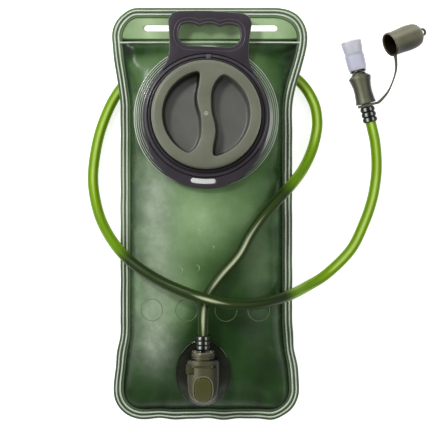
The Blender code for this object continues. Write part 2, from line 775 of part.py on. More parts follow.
def add_socket(outlet, plug_axis, button, finishes):
    full = (SOCKET_HIGH - SOCKET_LOW) / 2
    rings = [
        socket_ring(-0.0285, 0.0064, full * 0.62),
        socket_ring(-0.0262, 0.0107, full * 0.84),
        socket_ring(-0.0210, 0.0138, full * 0.97),
        socket_ring(-0.0120, 0.0150, full),
        socket_ring(0.0060, 0.0150, full),
        socket_ring(0.0112, 0.0136, full),
        socket_ring(0.0118, 0.0106, full * 0.98, 2.0),
        socket_ring(SOCKET_MOUTH, 0.0103, full * 0.96, 2.0),
    ]
    socket = add_mesh("valve_socket", loft(rings), finishes["olive"], outlet)
    bore = cylinder(SOCKET_BORE, -0.0002, SOCKET_MOUTH + 0.003, along_y=True)
    combine(socket, helper("socket_bore", bore, plug_axis), "DIFFERENCE")
    chamber = cylinder(CHAMBER_BORE, -0.0106, 0.0010, along_y=True)
    combine(socket, helper("poppet_chamber", chamber, plug_axis), "DIFFERENCE")
    inlet = cylinder(INLET_RADIUS, 0.0, PLUG_AXIS, 16)
    combine(socket, helper("inlet_hole", inlet, outlet, (0, INLET_Y, 0)), "DIFFERENCE", "MANIFOLD")
    wide, long = BUTTON_HALF
    pocket = plate([oval(wide + GAP, long + GAP)], 0.0160, 0.0300)
    combine(socket, helper("button_pocket", pocket, outlet, (0, BUTTON_Y, 0)), "DIFFERENCE")
    well = cylinder(0.0036, 0.0062, 0.0170, 16)
    combine(socket, helper("spring_well", well, button), "DIFFERENCE")
    slot = box((-0.0112, LATCH_Y - 0.0011, 0.0032), (0.0112, LATCH_Y + 0.0011, 0.0300))
    combine(socket, helper("latch_slot", slot, outlet), "DIFFERENCE")
    window = box((-0.0200, LATCH_Y - 0.0078, 0.0085), (-0.0084, LATCH_Y + 0.0011, 0.0300))
    combine(socket, helper("latch_window", window, outlet), "DIFFERENCE")


def add_button(button, finishes):
    wide, long = BUTTON_HALF
    crown = [(share, 0.0221 - drop) for share, drop in ((1.0, 0.0040), (1.0, 0.0010), (0.86, 0.0002), (0.5, 0.0))]
    spots = [(x, y) for x, y in oval(wide, long)]
    rings = [[(x * share, y * share + BUTTON_Y - BUTTON_SPRING_Y, z) for x, y in spots] for share, z in crown]
    add_mesh("release_button", loft(rings), finishes["olive"], button)
    coil("button_spring", 0.0026, 0.0004, 0.0065, 0.0178, 3.5, finishes["steel"], button)


def add_latch(outlet, finishes):
    """An inverted U over the plug, with a tab that shows through the housing's side."""
    inner, outer, foot, top = 0.0072, 0.0108, 0.0066, 0.0213
    arch = PLUG_AXIS + 0.0008
    loop = [(-outer, foot), (-inner, foot)]
    loop += [(x, z) for x, z in arc((0, arch), inner, 180, 0, 12)]
    loop += [(inner, foot), (outer, foot), (outer, top - 0.003), (outer - 0.003, top)]
    loop += [(-outer + 0.003, top), (-outer, top - 0.003)]
    bm = plate([loop], -0.0008, 0.0008)
    bmesh.ops.rotate(bm, verts=bm.verts, matrix=Matrix.Rotation(math.pi / 2, 3, "X"))
    latch = add_mesh("latch_plate", bm, finishes["olive"], outlet, (0, LATCH_Y, 0))
    tab = box((-0.0156, -0.0075, 0.0105), (-0.0088, 0.0006, 0.0178))
    combine(latch, helper("latch_tab", tab, outlet, (0, LATCH_Y, 0)), "UNION")


def add_poppet(plug_axis, finishes):
    profile = [
        (0, -GAP),
        (0.0046, -GAP),
        (0.0046, -0.0024),
        (0.0018, -0.0026),
        (0.0018, -0.0062),
        (0, -0.0062),
    ]
    add_mesh("shutoff_poppet", turned(profile, SMALL_STEPS, True), finishes["cap"], plug_axis)
    coil("poppet_spring", 0.0035, 0.0004, -0.0103, -0.0028, 3, finishes["steel"], plug_axis, True)


def barb_profile(start, root, crest, count):
    """Teeth of a hose barb, each a sharp edge and the slope behind it."""
    made = []
    for i in range(count):
        at = start + BARB_PITCH * i
        made += [(crest, at), (root, at + BARB_PITCH)]
    return made


def add_plug(plug_axis, finishes):
    end = SOCKET_MOUTH + 0.0003
    profile = [
        (0.0026, 0.0),
        (0.0058, 0.0),
        (0.0062, 0.0006),
        (0.0062, 0.0012),
        (0.0050, 0.0013),
        (0.0050, 0.0034),
        (0.0062, 0.0035),
        (0.0062, 0.0046),
        (0.0055, 0.0048),
        (0.0055, 0.0068),
        (0.0062, 0.0070),
        (0.0062, end),
        (0.0088, end),
        (0.0088, end + 0.0018),
        (0.0062, end + 0.0022),
    ]
    profile += barb_profile(end + 0.0022, 0.0051, 0.0060, BARBS)
    profile += [(0.0026, end + 0.0022 + BARBS * BARB_PITCH)]
    add_mesh("hose_plug", turned(profile, SMALL_STEPS, True), finishes["smoked"], plug_axis)
    add_mesh("plug_oring", torus(0.00578, 0.0007, 0.00235, SMALL_STEPS, True), finishes["seal"], plug_axis)


# ---- Hose and bite valve ----


def add_hose(finishes):
    tube("hose", smooth_curve(HOSE_ROUTE, HOSE_POINTS), HOSE_RADIUS, finishes["hose"])


def add_valve(valve, finishes):
    barbs = barb_profile(-0.0172, 0.0061, 0.0052, BARBS)
    stem = [(0.0024, -0.0172), *barbs, (0.0061, -0.0030), (0.0061, -0.0004), (0.0040, 0.0)]
    stem += [(0.0040, 0.0130), (0.0036, 0.0132), (0.0036, 0.0148), (0.0040, 0.0150), (0.0040, 0.0400)]
    stem += [(0.0024, 0.0400)]
    add_mesh("valve_stem", turned(stem, SMALL_STEPS, True), finishes["black"], valve)
    add_mesh("stem_oring", torus(0.00445, 0.0005, 0.0140, SMALL_STEPS, True), finishes["seal"], valve)
    body = [
        (0.0051, 0.0003),
        (0.0089, 0.0003),
        (0.0095, 0.0012),
        (0.0089, 0.0050),
        (0.0082, 0.0110),
        (0.0085, 0.0160),
        (0.0096, 0.0215),
        (0.0104, 0.0244),
        (0.0101, 0.0256),
        (0.0066, 0.0286),
        (0.0062, 0.0297),
        (0.0051, 0.0297),
    ]
    add_mesh("bite_valve_body", turned(body, 20, True), finishes["olive"], valve)
    ring = [
        (0.0043, 0.0300),
        (0.0080, 0.0300),
        (0.0080, 0.0320),
        (0.0056, 0.0322),
        (0.0054, 0.0450),
        (0.0043, 0.0450),
    ]
    add_mesh("mouthpiece_ring", turned(ring, SMALL_STEPS, True), finishes["black"], valve)
    bite = [
        (0.0059, 0.0325),
        (0.0083, 0.0325),
        (0.0089, 0.0380),
        (0.0091, 0.0470),
        (0.0096, 0.0550),
        (0.0096, 0.0590),
        (0.0060, 0.0612),
        (0.0, 0.0616),
        (0.0, 0.0584),
        (0.0078, 0.0568),
        (0.0076, 0.0480),
        (0.0059, 0.0455),
    ]
    add_mesh("mouthpiece", turned(bite, 20, True), finishes["silicone"], valve)


def add_tether(valve, cap_frame, finishes):
    ring = [(0.0064, -0.0026), (0.0084, -0.0026), (0.0084, -0.0004), (0.0064, -0.0004)]
    made = add_mesh("tether_ring", turned(ring, SMALL_STEPS, True), finishes["cap"], valve)
    tab = box((0.0078, -0.0026, -0.0016), (0.0112, -0.0004, 0.0016))
    combine(made, helper("tether_tab", tab, valve), "UNION")
    strap = [
        (0.1606, 0.1037, 0.0106),
        (0.1640, 0.1068, 0.0102),
        (0.1700, 0.1145, 0.0105),
        (0.1747, 0.1260, 0.0136),
        (0.1764, 0.1350, 0.0180),
        (0.1756, 0.1450, 0.0230),
    ]
    tube("tether_strap", smooth_curve(strap, 12), STRAP_RADIUS, finishes["cap"])
    shell = [
        (0.0100, 0.0),
        (0.0113, 0.0),
        (0.0115, 0.0006),
        (0.0115, 0.0020),
        (0.0109, 0.0028),
        (0.0113, 0.0110),
        (0.0118, 0.0190),
        (0.0115, 0.0260),
        (0.0101, 0.0315),
        (0.0066, 0.0345),
        (0.0, DUST_CAP_LENGTH),
        (0.0, DUST_CAP_LENGTH - 0.0016),
        (0.0060, 0.0330),
        (0.0090, 0.0303),
        (0.0102, 0.0255),
        (0.0105, 0.0190),
        (0.0100, 0.0110),
    ]
    cap = add_mesh("dust_cap", turned(shell, 20, True), finishes["cap"], cap_frame)
    end = DUST_CAP_LENGTH
    outer = [(-0.0036, end - 0.003), (0.0036, end - 0.003), *arc((0, end + 0.0034), 0.0038, 0, 180, 10)]
    loop = plate([outer, circle(0.0018, 10, (0, end + 0.0036))], -0.0012, 0.0012)
    combine(cap, helper("dust_cap_loop", loop, cap_frame), "UNION")


def add_frames():
    """The empties that the tilted pieces are built in and that moving pieces turn or slide on."""
    port = frame_empty("fill_port_axis", PORT_PLACE, (PORT_TILT, 0, 0))
    outlet = frame_empty("outlet_frame", OUTLET_PLACE, (OUTLET_TILT, 0, 0))
    plug_axis = frame_empty("plug_axis", (0, 0, PLUG_AXIS), parent=outlet)
    button = frame_empty("button_axis", (0, BUTTON_SPRING_Y, 0), parent=outlet)
    valve = frame_empty("bite_valve_axis", VALVE_PLACE, (0, 0, VALVE_TURN))
    pivot = frame_empty("dust_cap_pivot", DUST_CAP_PIVOT)
    place = Vector(DUST_CAP_MOUTH) - Vector(DUST_CAP_PIVOT)
    cap_frame = frame_empty("dust_cap_frame", place, (DUST_CAP_PITCH, 0, DUST_CAP_TURN), pivot)
    return port, outlet, plug_axis, button, valve, cap_frame


def main():
    clear_scene()
    finishes = {
        "film": material("green_film", (0.17, 0.30, 0.14), 0.25),
        "clear": material("clear_flange", (0.45, 0.52, 0.42), 0.2),
        "collar": material("dark_collar", (0.055, 0.047, 0.060), 0.35),
        "cap": material("grey_green_cap", (0.16, 0.165, 0.12), 0.45),
        "smoked": material("smoked_flange", (0.02, 0.025, 0.02), 0.25),
        "olive": material("olive_housing", (0.10, 0.10, 0.06), 0.35),
        "hose": material("hose_green", (0.24, 0.38, 0.05), 0.2),
        "black": material("black_stem", (0.015, 0.018, 0.015), 0.3),
        "silicone": material("milky_silicone", (0.62, 0.60, 0.70), 0.4),
        "seal": material("seal_rubber", (0.02, 0.02, 0.02), 0.6),
        "steel": material("spring_steel", (0.6, 0.6, 0.6), 0.25, 1.0),
    }
    port, outlet, plug_axis, button, valve, cap_frame = add_frames()
    add_films(port, finishes)
    add_neck(port, finishes)
    add_collar(port, finishes)
    add_cap(port, finishes)
    add_socket(outlet, plug_axis, button, finishes)
    add_button(button, finishes)
    add_latch(outlet, finishes)
    add_poppet(plug_axis, finishes)
    add_plug(plug_axis, finishes)
    add_hose(finishes)
    add_valve(valve, finishes)
    add_tether(valve, cap_frame, finishes)


main()
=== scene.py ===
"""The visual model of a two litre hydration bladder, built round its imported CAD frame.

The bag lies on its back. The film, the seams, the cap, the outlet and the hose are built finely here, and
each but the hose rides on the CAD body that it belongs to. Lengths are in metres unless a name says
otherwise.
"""

import math

import bmesh
import bpy
import numpy as np
from mathutils import Matrix, Vector
from mathutils.geometry import delaunay_2d_cdt
from mathutils.kdtree import KDTree


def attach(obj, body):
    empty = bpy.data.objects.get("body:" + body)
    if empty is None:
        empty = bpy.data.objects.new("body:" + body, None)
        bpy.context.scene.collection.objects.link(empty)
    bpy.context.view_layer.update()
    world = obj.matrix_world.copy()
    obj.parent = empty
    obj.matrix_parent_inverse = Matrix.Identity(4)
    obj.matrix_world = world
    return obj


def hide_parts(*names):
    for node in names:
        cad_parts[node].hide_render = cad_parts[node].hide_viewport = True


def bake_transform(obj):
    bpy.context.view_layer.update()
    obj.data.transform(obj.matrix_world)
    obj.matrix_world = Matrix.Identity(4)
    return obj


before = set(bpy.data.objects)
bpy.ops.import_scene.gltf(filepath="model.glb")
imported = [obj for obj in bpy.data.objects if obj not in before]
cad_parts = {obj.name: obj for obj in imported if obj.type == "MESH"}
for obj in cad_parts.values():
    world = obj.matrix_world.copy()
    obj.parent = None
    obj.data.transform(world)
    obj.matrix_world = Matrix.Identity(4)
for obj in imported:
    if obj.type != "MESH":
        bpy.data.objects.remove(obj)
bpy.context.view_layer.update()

# ---- Dimensions, as in the CAD source ----

GAP = 0.0003
BAG_LENGTH = 0.380
BAG_WAIST = 0.158
TOP_FLARE = 0.0110
FOOT_FLARE = 0.0065
CORNER_RADIUS = 0.026
SEAM_MARGIN = 0.009
HANG_BAND = 0.030
SEAM_HEIGHT = 0.024
BELLY_HEIGHT = 0.057
EDGE_RISE = 0.010
FOOT_RISE = 0.080
TOP_RISE = 0.050
BACK_SIDE_RISE = 0.030
BACK_FOOT_RISE = 0.035
BACK_TOP_RISE = 0.062
FILM = 0.0009
HANG_SLOTS = ((0.0350, 0.0655), (-0.0575, -0.0290))
HANG_SLOT_WIDTH = 0.0056
HANG_SLOT_Y = 0.1715

PORT_PLACE = (0.0, 0.0887, 0.044)
PORT_TILT = math.radians(-8)
FLAT_RADIUS = 0.0595
SKIRT_FADE = 0.024
NECK_RADIUS = 0.0460
FLANGE_RADIUS = 0.0668
COLLAR_LOW = 0.0020
COLLAR_HIGH = 0.0085
HANDLE_HIGH = 0.0070
COLLAR_BORE = 0.0509
COLLAR_RADIUS = 0.0583
COLLAR_TURN = math.radians(-2.2)
LIP_RADIUS = 0.0673
SLOT_RADIUS = 0.0611
SLOT_HALF_ANGLE = math.radians(8.6)
SLOT_HALF_WIDTH = 0.0026
SLOT_ANGLE = math.radians(-92.6)
LIP_FULL = math.radians(10)
LIP_FADE = math.radians(75)
CAP_RADIUS = 0.0502
CAP_TOP = 0.0170
POCKET_RADIUS = 0.0403
POCKET_FLOOR = 0.0042
SKIRT_BORE = 0.0479

OUTLET_PLACE = (-0.0028, -0.1406, 0.0512)
OUTLET_TILT = math.radians(11)
OUTLET_OVAL = (0.0252, 0.0317)
OUTLET_OVAL_Y = -0.1466
OUTLET_FLAT = (0.0165, 0.0205)
OUTLET_FLAT_Y = -0.1450
PLUG_AXIS = 0.0118
SOCKET_LOW = 0.0022
SOCKET_HIGH = 0.0220
SOCKET_MIDDLE = (SOCKET_LOW + SOCKET_HIGH) / 2
SOCKET_HALF = (SOCKET_HIGH - SOCKET_LOW) / 2
SOCKET_MOUTH = 0.0177
SOCKET_BORE = 0.0066
CHAMBER_BORE = 0.0050
BUTTON_Y = -0.0155
BUTTON_SPRING_Y = -0.0178
BUTTON_HALF = (0.0078, 0.0113)
LATCH_Y = 0.0058

HOSE_RADIUS = 0.0050
VALVE_PLACE = (0.1490, 0.1022, 0.0106)
VALVE_TURN = math.radians(13.8)
DUST_CAP_LENGTH = 0.0355
DUST_CAP_MOUTH = (0.1700, 0.1563, 0.0236)
DUST_CAP_TURN = math.radians(-67.5)
DUST_CAP_PITCH = math.radians(-27)
STRAP_RADIUS = 0.0011

HOSE_ROUTE = [
    (-0.0028, -0.1102, 0.0692), (-0.0028, -0.1042, 0.0704), (-0.0028, -0.0972, 0.0711),
    (-0.0025, -0.0902, 0.0709), (-0.0016, -0.0832, 0.0698), (0.0006, -0.0762, 0.0680),
    (0.0053, -0.0678, 0.0656), (0.0143, -0.0560, 0.0634), (0.0300, -0.0380, 0.0612),
    (0.0400, -0.0200, 0.0586), (0.0520, -0.0030, 0.0538), (0.0660, 0.0130, 0.0460),
    (0.0790, 0.0270, 0.0346), (0.0890, 0.0400, 0.0210), (0.0965, 0.0540, 0.0112),
    (0.1015, 0.0690, 0.0066), (0.1037, 0.0860, 0.0052), (0.0998, 0.1050, 0.0052),
    (0.0865, 0.1240, 0.0052), (0.0625, 0.1390, 0.0052), (0.0320, 0.1495, 0.0052),
    (0.0000, 0.1520, 0.0052), (-0.0320, 0.1490, 0.0052), (-0.0610, 0.1370, 0.0052),
    (-0.0835, 0.1120, 0.0052), (-0.0970, 0.0840, 0.0052), (-0.1040, 0.0560, 0.0052),
    (-0.1060, 0.0280, 0.0064), (-0.1000, -0.0010, 0.0140), (-0.0885, -0.0230, 0.0285),
    (-0.0740, -0.0400, 0.0440), (-0.0550, -0.0540, 0.0556), (-0.0310, -0.0665, 0.0690),
    (-0.0030, -0.0765, 0.0789), (0.0220, -0.0820, 0.0754), (0.0480, -0.0820, 0.0628),
    (0.0740, -0.0760, 0.0420), (0.0930, -0.0680, 0.0210), (0.1130, -0.0560, 0.0076),
    (0.1350, -0.0340, 0.0052), (0.1475, -0.0090, 0.0052), (0.1550, 0.0130, 0.0052),
    (0.1586, 0.0340, 0.0054), (0.1590, 0.0500, 0.0070), (0.1575, 0.0660, 0.0092),
    (0.1553, 0.0765, 0.0104), (0.1532, 0.0851, 0.0106),
]
STRAP_ROUTE = [
    (0.1606, 0.1037, 0.0106), (0.1640, 0.1068, 0.0102), (0.1700, 0.1145, 0.0105),
    (0.1747, 0.1260, 0.0136), (0.1764, 0.1350, 0.0180), (0.1756, 0.1450, 0.0230),
]

PORT = Matrix.Translation(PORT_PLACE) @ Matrix.Rotation(PORT_TILT, 4, "X")
OUTLET = Matrix.Translation(OUTLET_PLACE) @ Matrix.Rotation(OUTLET_TILT, 4, "X")
PLUG = OUTLET @ Matrix.Translation((0, 0, PLUG_AXIS))
VALVE = Matrix.Translation(VALVE_PLACE) @ Matrix.Rotation(VALVE_TURN, 4, "Z")
DUST = (
    Matrix.Translation(DUST_CAP_MOUTH)
    @ Matrix.Rotation(DUST_CAP_TURN, 4, "Z")
    @ Matrix.Rotation(DUST_CAP_PITCH, 4, "X")
)
ALONG_Y = Matrix.Rotation(-math.pi / 2, 4, "X")

# ---- Mesh helpers ----


def ease(value):
    """A smooth step: 0 up to 0, 1 from 1 on."""
    value = np.clip(value, 0.0, 1.0)
    return value * value * (3 - 2 * value)


def bell(value, middle, width):
    """A smooth peak: 1 at the middle, and almost nothing two widths away."""
    return np.exp(-(((value - middle) / width) ** 2))


def fading(distance, reach):
    """1 at a seam, dying away over this reach."""
    return np.exp(-np.clip(distance, 0, None) / reach)


def sharpen(mesh, angle=40):
    """Smooth shading, apart from the edges sharper than this many degrees."""
    mesh.shade_smooth()
    mesh.set_sharp_from_angle(angle=math.radians(angle))


def place_mesh(name, verts, faces, look, body, slot=None, turn=None, smooth=40):
    """A mesh object of these points and faces, in this frame, that rides on a CAD body."""
    mesh = bpy.data.meshes.new(name)
    mesh.from_pydata([tuple(v) for v in verts], [], faces)
    bm = bmesh.new()
    bm.from_mesh(mesh)
    bmesh.ops.remove_doubles(bm, verts=bm.verts, dist=1e-6)
    bmesh.ops.recalc_face_normals(bm, faces=bm.faces)
    bm.to_mesh(mesh)
    bm.free()
    if turn is not None:
        mesh.transform(turn)
    sharpen(mesh, smooth)
    obj = bpy.data.objects.new(name, mesh)
    bpy.context.scene.collection.objects.link(obj)
    mesh.materials.append(look)
    if body:
        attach(obj, body)
    return obj


def points_of(obj):
    values = np.empty(len(obj.data.vertices) * 3, np.float32)
    obj.data.vertices.foreach_get("co", values)
    return values.reshape(-1, 3).astype(float)


def spots_in(obj, turn):
    """The X, Y and Z of the piece's points in the frame that this turn leads from."""
    back = turn.inverted()
    return np.array([tuple(back @ v.co) for v in obj.data.vertices]).T


def paint_tone(obj, *tones):
    """Stores up to three numbers for each point, which the piece's material reads."""
    mesh = obj.data
    layer = mesh.color_attributes.new("tone", "FLOAT_COLOR", "POINT")
    values = np.zeros((len(mesh.vertices), 4), np.float32)
    values[:, 3] = 1.0
    for channel, tone in enumerate(tones):
        values[:, channel] = tone
    layer.data.foreach_set("color", values.reshape(-1))


def apply_modifiers(obj):
    graph = bpy.context.evaluated_depsgraph_get()
    mesh = bpy.data.meshes.new_from_object(obj.evaluated_get(graph))
    obj.modifiers.clear()
    obj.data = mesh


def bevel(obj, width, segments=3, angle=50):
    step = obj.modifiers.new("Edges", "BEVEL")
    step.width = width
    step.segments = segments
    step.limit_method = "ANGLE"
    step.angle_limit = math.radians(angle)
    apply_modifiers(obj)
    sharpen(obj.data)


def thicken(obj, thickness, outwards=1, face=0):
    """Thickens a sheet on its inner side. The face tells which way the sheet's faces point."""
    step = obj.modifiers.new("Thickness", "SOLIDIFY")
    up = obj.data.polygons[face].normal.z > 0
    step.thickness = thickness
    step.offset = -1 if up == (outwards > 0) else 1
    apply_modifiers(obj)


def cut(obj, name, verts, faces, turn):
    """Cuts a shape out of the piece."""
    tool = place_mesh(name, verts, faces, obj.data.materials[0], None, None, turn)
    step = obj.modifiers.new("Cut", "BOOLEAN")
    step.operation = "DIFFERENCE"
    step.solver = "EXACT"
    step.object = tool
    apply_modifiers(obj)
    bpy.data.objects.remove(tool, do_unlink=True)


def on_circle(centre, radius, angles):
    return [(centre[0] + radius * math.cos(a), centre[1] + radius * math.sin(a)) for a in angles]


def circle(radius, steps, centre=(0.0, 0.0)):
    turn = 2 * math.pi / steps
    return on_circle(centre, radius, [i * turn for i in range(steps)])


def arc(centre, radius, start, end, steps):
    """Points on an arc, its angles in degrees, both ends included."""
    angles = [math.radians(start + (end - start) * i / steps) for i in range(steps + 1)]
    return on_circle(centre, radius, angles)


def oval_loop(half_wide, half_long, steps=48, power=2.0, centre=(0.0, 0.0)):
    ring = []
    for i in range(steps):
        angle = 2 * math.pi * i / steps
        c, s = math.cos(angle), math.sin(angle)
        x = half_wide * math.copysign(abs(c) ** (2 / power), c)
        y = half_long * math.copysign(abs(s) ** (2 / power), s)
        ring.append((centre[0] + x, centre[1] + y))
    return ring


def turned_loop(loop, angle):
    c, s = math.cos(angle), math.sin(angle)
    return [(x * c - y * s, x * s + y * c) for x, y in loop]


def round_corners(loop, times, spacing):
    """The loop resampled evenly and relaxed, which rounds its corners."""
    points = np.array(loop)
    closed = np.vstack([points, points[:1]])
    lengths = np.hypot(*np.diff(closed, axis=0).T)
    along = np.concatenate([[0], np.cumsum(lengths)])
    count = round(along[-1] / spacing)
    wanted = np.linspace(0, along[-1], count, endpoint=False)
    made = np.stack([np.interp(wanted, along, closed[:, i]) for i in (0, 1)], axis=1)
    for _ in range(times):
        made = 0.5 * made + 0.25 * (np.roll(made, 1, axis=0) + np.roll(made, -1, axis=0))
    return made


def offset_loop(loop, distance):
    """The loop moved to its left by this distance."""
    ahead = np.roll(loop, -1, axis=0) - np.roll(loop, 1, axis=0)
    ahead /= np.hypot(ahead[:, 0], ahead[:, 1])[:, None]
    return loop + distance * np.stack([-ahead[:, 1], ahead[:, 0]], axis=1)


def smooth_curve(points, count):
    """Evenly spaced points on a Catmull-Rom curve through the given ones."""
    points = [Vector(p) for p in points]
    ends = [2 * points[0] - points[1], *points, 2 * points[-1] - points[-2]]
    fine = []
    for before, start, end, after in zip(ends, ends[1:], ends[2:], ends[3:]):
        for i in range(24):
            t = i / 24
            linear = 2 * start + (end - before) * t
            square = (2 * before - 5 * start + 4 * end - after) * t**2
            cube = (3 * start - before - 3 * end + after) * t**3
            fine.append(0.5 * (linear + square + cube))
    fine.append(points[-1])
    along = [0.0]
    for a, b in zip(fine, fine[1:]):
        along.append(along[-1] + (b - a).length)
    made = []
    spot = 0
    for i in range(count):
        wanted = along[-1] * i / (count - 1)
        while spot < len(along) - 2 and along[spot + 1] < wanted:
            spot += 1
        share = (wanted - along[spot]) / (along[spot + 1] - along[spot])
        made.append(fine[spot].lerp(fine[spot + 1], min(share, 1.0)))
    return made


def ring_faces(gaps, size, start=0):
    """Quads that fill the gaps between rings of points, which are stored one after another."""
    faces = []
    for i in range(gaps):
        a = start + i * size
        for j in range(size):
            k = (j + 1) % size
            faces.append((a + j, a + k, a + size + k, a + size + j))
    return faces


def moved_faces(faces, start):
    """The faces with their point numbers moved on, for points that are added after others."""
    return [tuple(int(i) + start for i in face) for face in faces]


def lathe_data(profile, steps, closed=True):
    """Points and faces turned about Z from (radius, height) pairs."""
    verts = []
    for radius, height in profile:
        verts += [(x, y, height) for x, y in circle(max(radius, 1e-7), steps)]
    faces = ring_faces(len(profile) - 1, steps)
    if closed:
        last = len(verts) - steps
        faces += [(last + j, last + (j + 1) % steps, (j + 1) % steps, j) for j in range(steps)]
    return verts, faces


def lathe(name, profile, look, body, slot, turn, steps=72, along_y=False, smooth=40):
    """A closed profile turned about the frame's Z, or about its Y."""
    if along_y:
        turn = turn @ ALONG_Y
    return place_mesh(name, *lathe_data(profile, steps), look, body, slot, turn, smooth)


def loft_data(rings, caps=True):
    verts = [p for ring in rings for p in ring]
    size = len(rings[0])
    faces = ring_faces(len(rings) - 1, size)
    if caps:
        faces.append(tuple(range(size)))
        faces.append(tuple(range(len(verts) - size, len(verts))))
    return verts, faces


def tube_rings(points, radii, sides, closed=False):
    """Rings round a line of points, their first corner always the one nearest to straight up."""
    rings = []
    count = len(points)
    for i, point in enumerate(points):
        if closed:
            ahead = points[(i + 1) % count] - points[i - 1]
        else:
            ahead = points[min(i + 1, count - 1)] - points[max(i - 1, 0)]
        ahead.normalize()
        up = Vector((0, 0, 1)) - ahead * ahead.z
        if up.length < 0.05:
            up = Vector((0, 1, 0)) - ahead * ahead.y
        up.normalize()
        side = ahead.cross(up)
        radius = radii[i] if hasattr(radii, "__len__") else radii
        ring = []
        for j in range(sides):
            angle = 2 * math.pi * j / sides
            ring.append(point + radius * (up * math.cos(angle) + side * math.sin(angle)))
        rings.append(ring)
    return rings


def sweep(name, points, radii, look, body, slot, sides=12, closed=False, turn=None):
    """A round tube along a line of points, its radius the same all along or given for each point."""
    rings = tube_rings([Vector(p) for p in points], radii, sides, closed)
    if closed:
        rings.append(rings[0])
    return place_mesh(name, *loft_data(rings, caps=not closed), look, body, slot, turn)


def inside_many(points, loop):
    """For each point of an array, whether it is inside the loop."""
    found = np.zeros(len(points), bool)
    x, y = points[:, 0], points[:, 1]
    for (x1, y1), (x2, y2) in zip(loop, loop[1:] + loop[:1]):
        if y1 != y2:
            crosses = ((y1 > y) != (y2 > y)) & (x < x1 + (y - y1) * (x2 - x1) / (y2 - y1))
            found ^= crosses
    return found


def fill(loops, extra=()):
    """Triangles between the first loop and the others, which are holes, through the extra points."""
    points = []
    edges = []
    for loop in loops:
        start = len(points)
        points += [Vector(p) for p in loop]
        edges += [(start + i, start + (i + 1) % len(loop)) for i in range(len(loop))]
    points += [Vector(p) for p in extra]
    made, _, triangles, *_ = delaunay_2d_cdt(points, edges, [], 0, 1e-7)
    made = np.array([tuple(p) for p in made])
    triangles = np.array([tuple(t) for t in triangles])
    middles = made[triangles].mean(axis=1)
    keep = inside_many(middles, loops[0])
    for hole in loops[1:]:
        keep &= ~inside_many(middles, hole)
    return made, triangles[keep]


def plate_data(loops, low, high):
    """A flat plate with straight sides: the first loop is its outline and the others are holes."""
    points, triangles = fill(loops)
    count = len(points)
    verts = [(x, y, high) for x, y in points] + [(x, y, low) for x, y in points]
    faces = moved_faces(triangles, 0)
    edges = {}
    for a, b, c in faces:
        for edge in ((a, b), (b, c), (c, a)):
            key = tuple(sorted(edge))
            edges[key] = edges.get(key, 0) + 1
    faces += [tuple(i + count for i in reversed(t)) for t in faces]
    faces += [(a, b, b + count, a + count) for (a, b), uses in edges.items() if uses == 1]
    return verts, faces


def box_data(low, high):
    x0, y0, z0 = low
    x1, y1, z1 = high
    ring = [(x0, y0), (x1, y0), (x1, y1), (x0, y1)]
    return loft_data([[(x, y, z) for x, y in ring] for z in (z0, z1)])


# ---- Materials ----


def srgb(red, green, blue):
    """A colour given as 0 to 255 on screen, as Blender's linear values."""
    made = []
    for value in (red, green, blue):
        share = value / 255
        made.append(share / 12.92 if share <= 0.04045 else ((share + 0.055) / 1.055) ** 2.4)
    return (*made, 1.0)


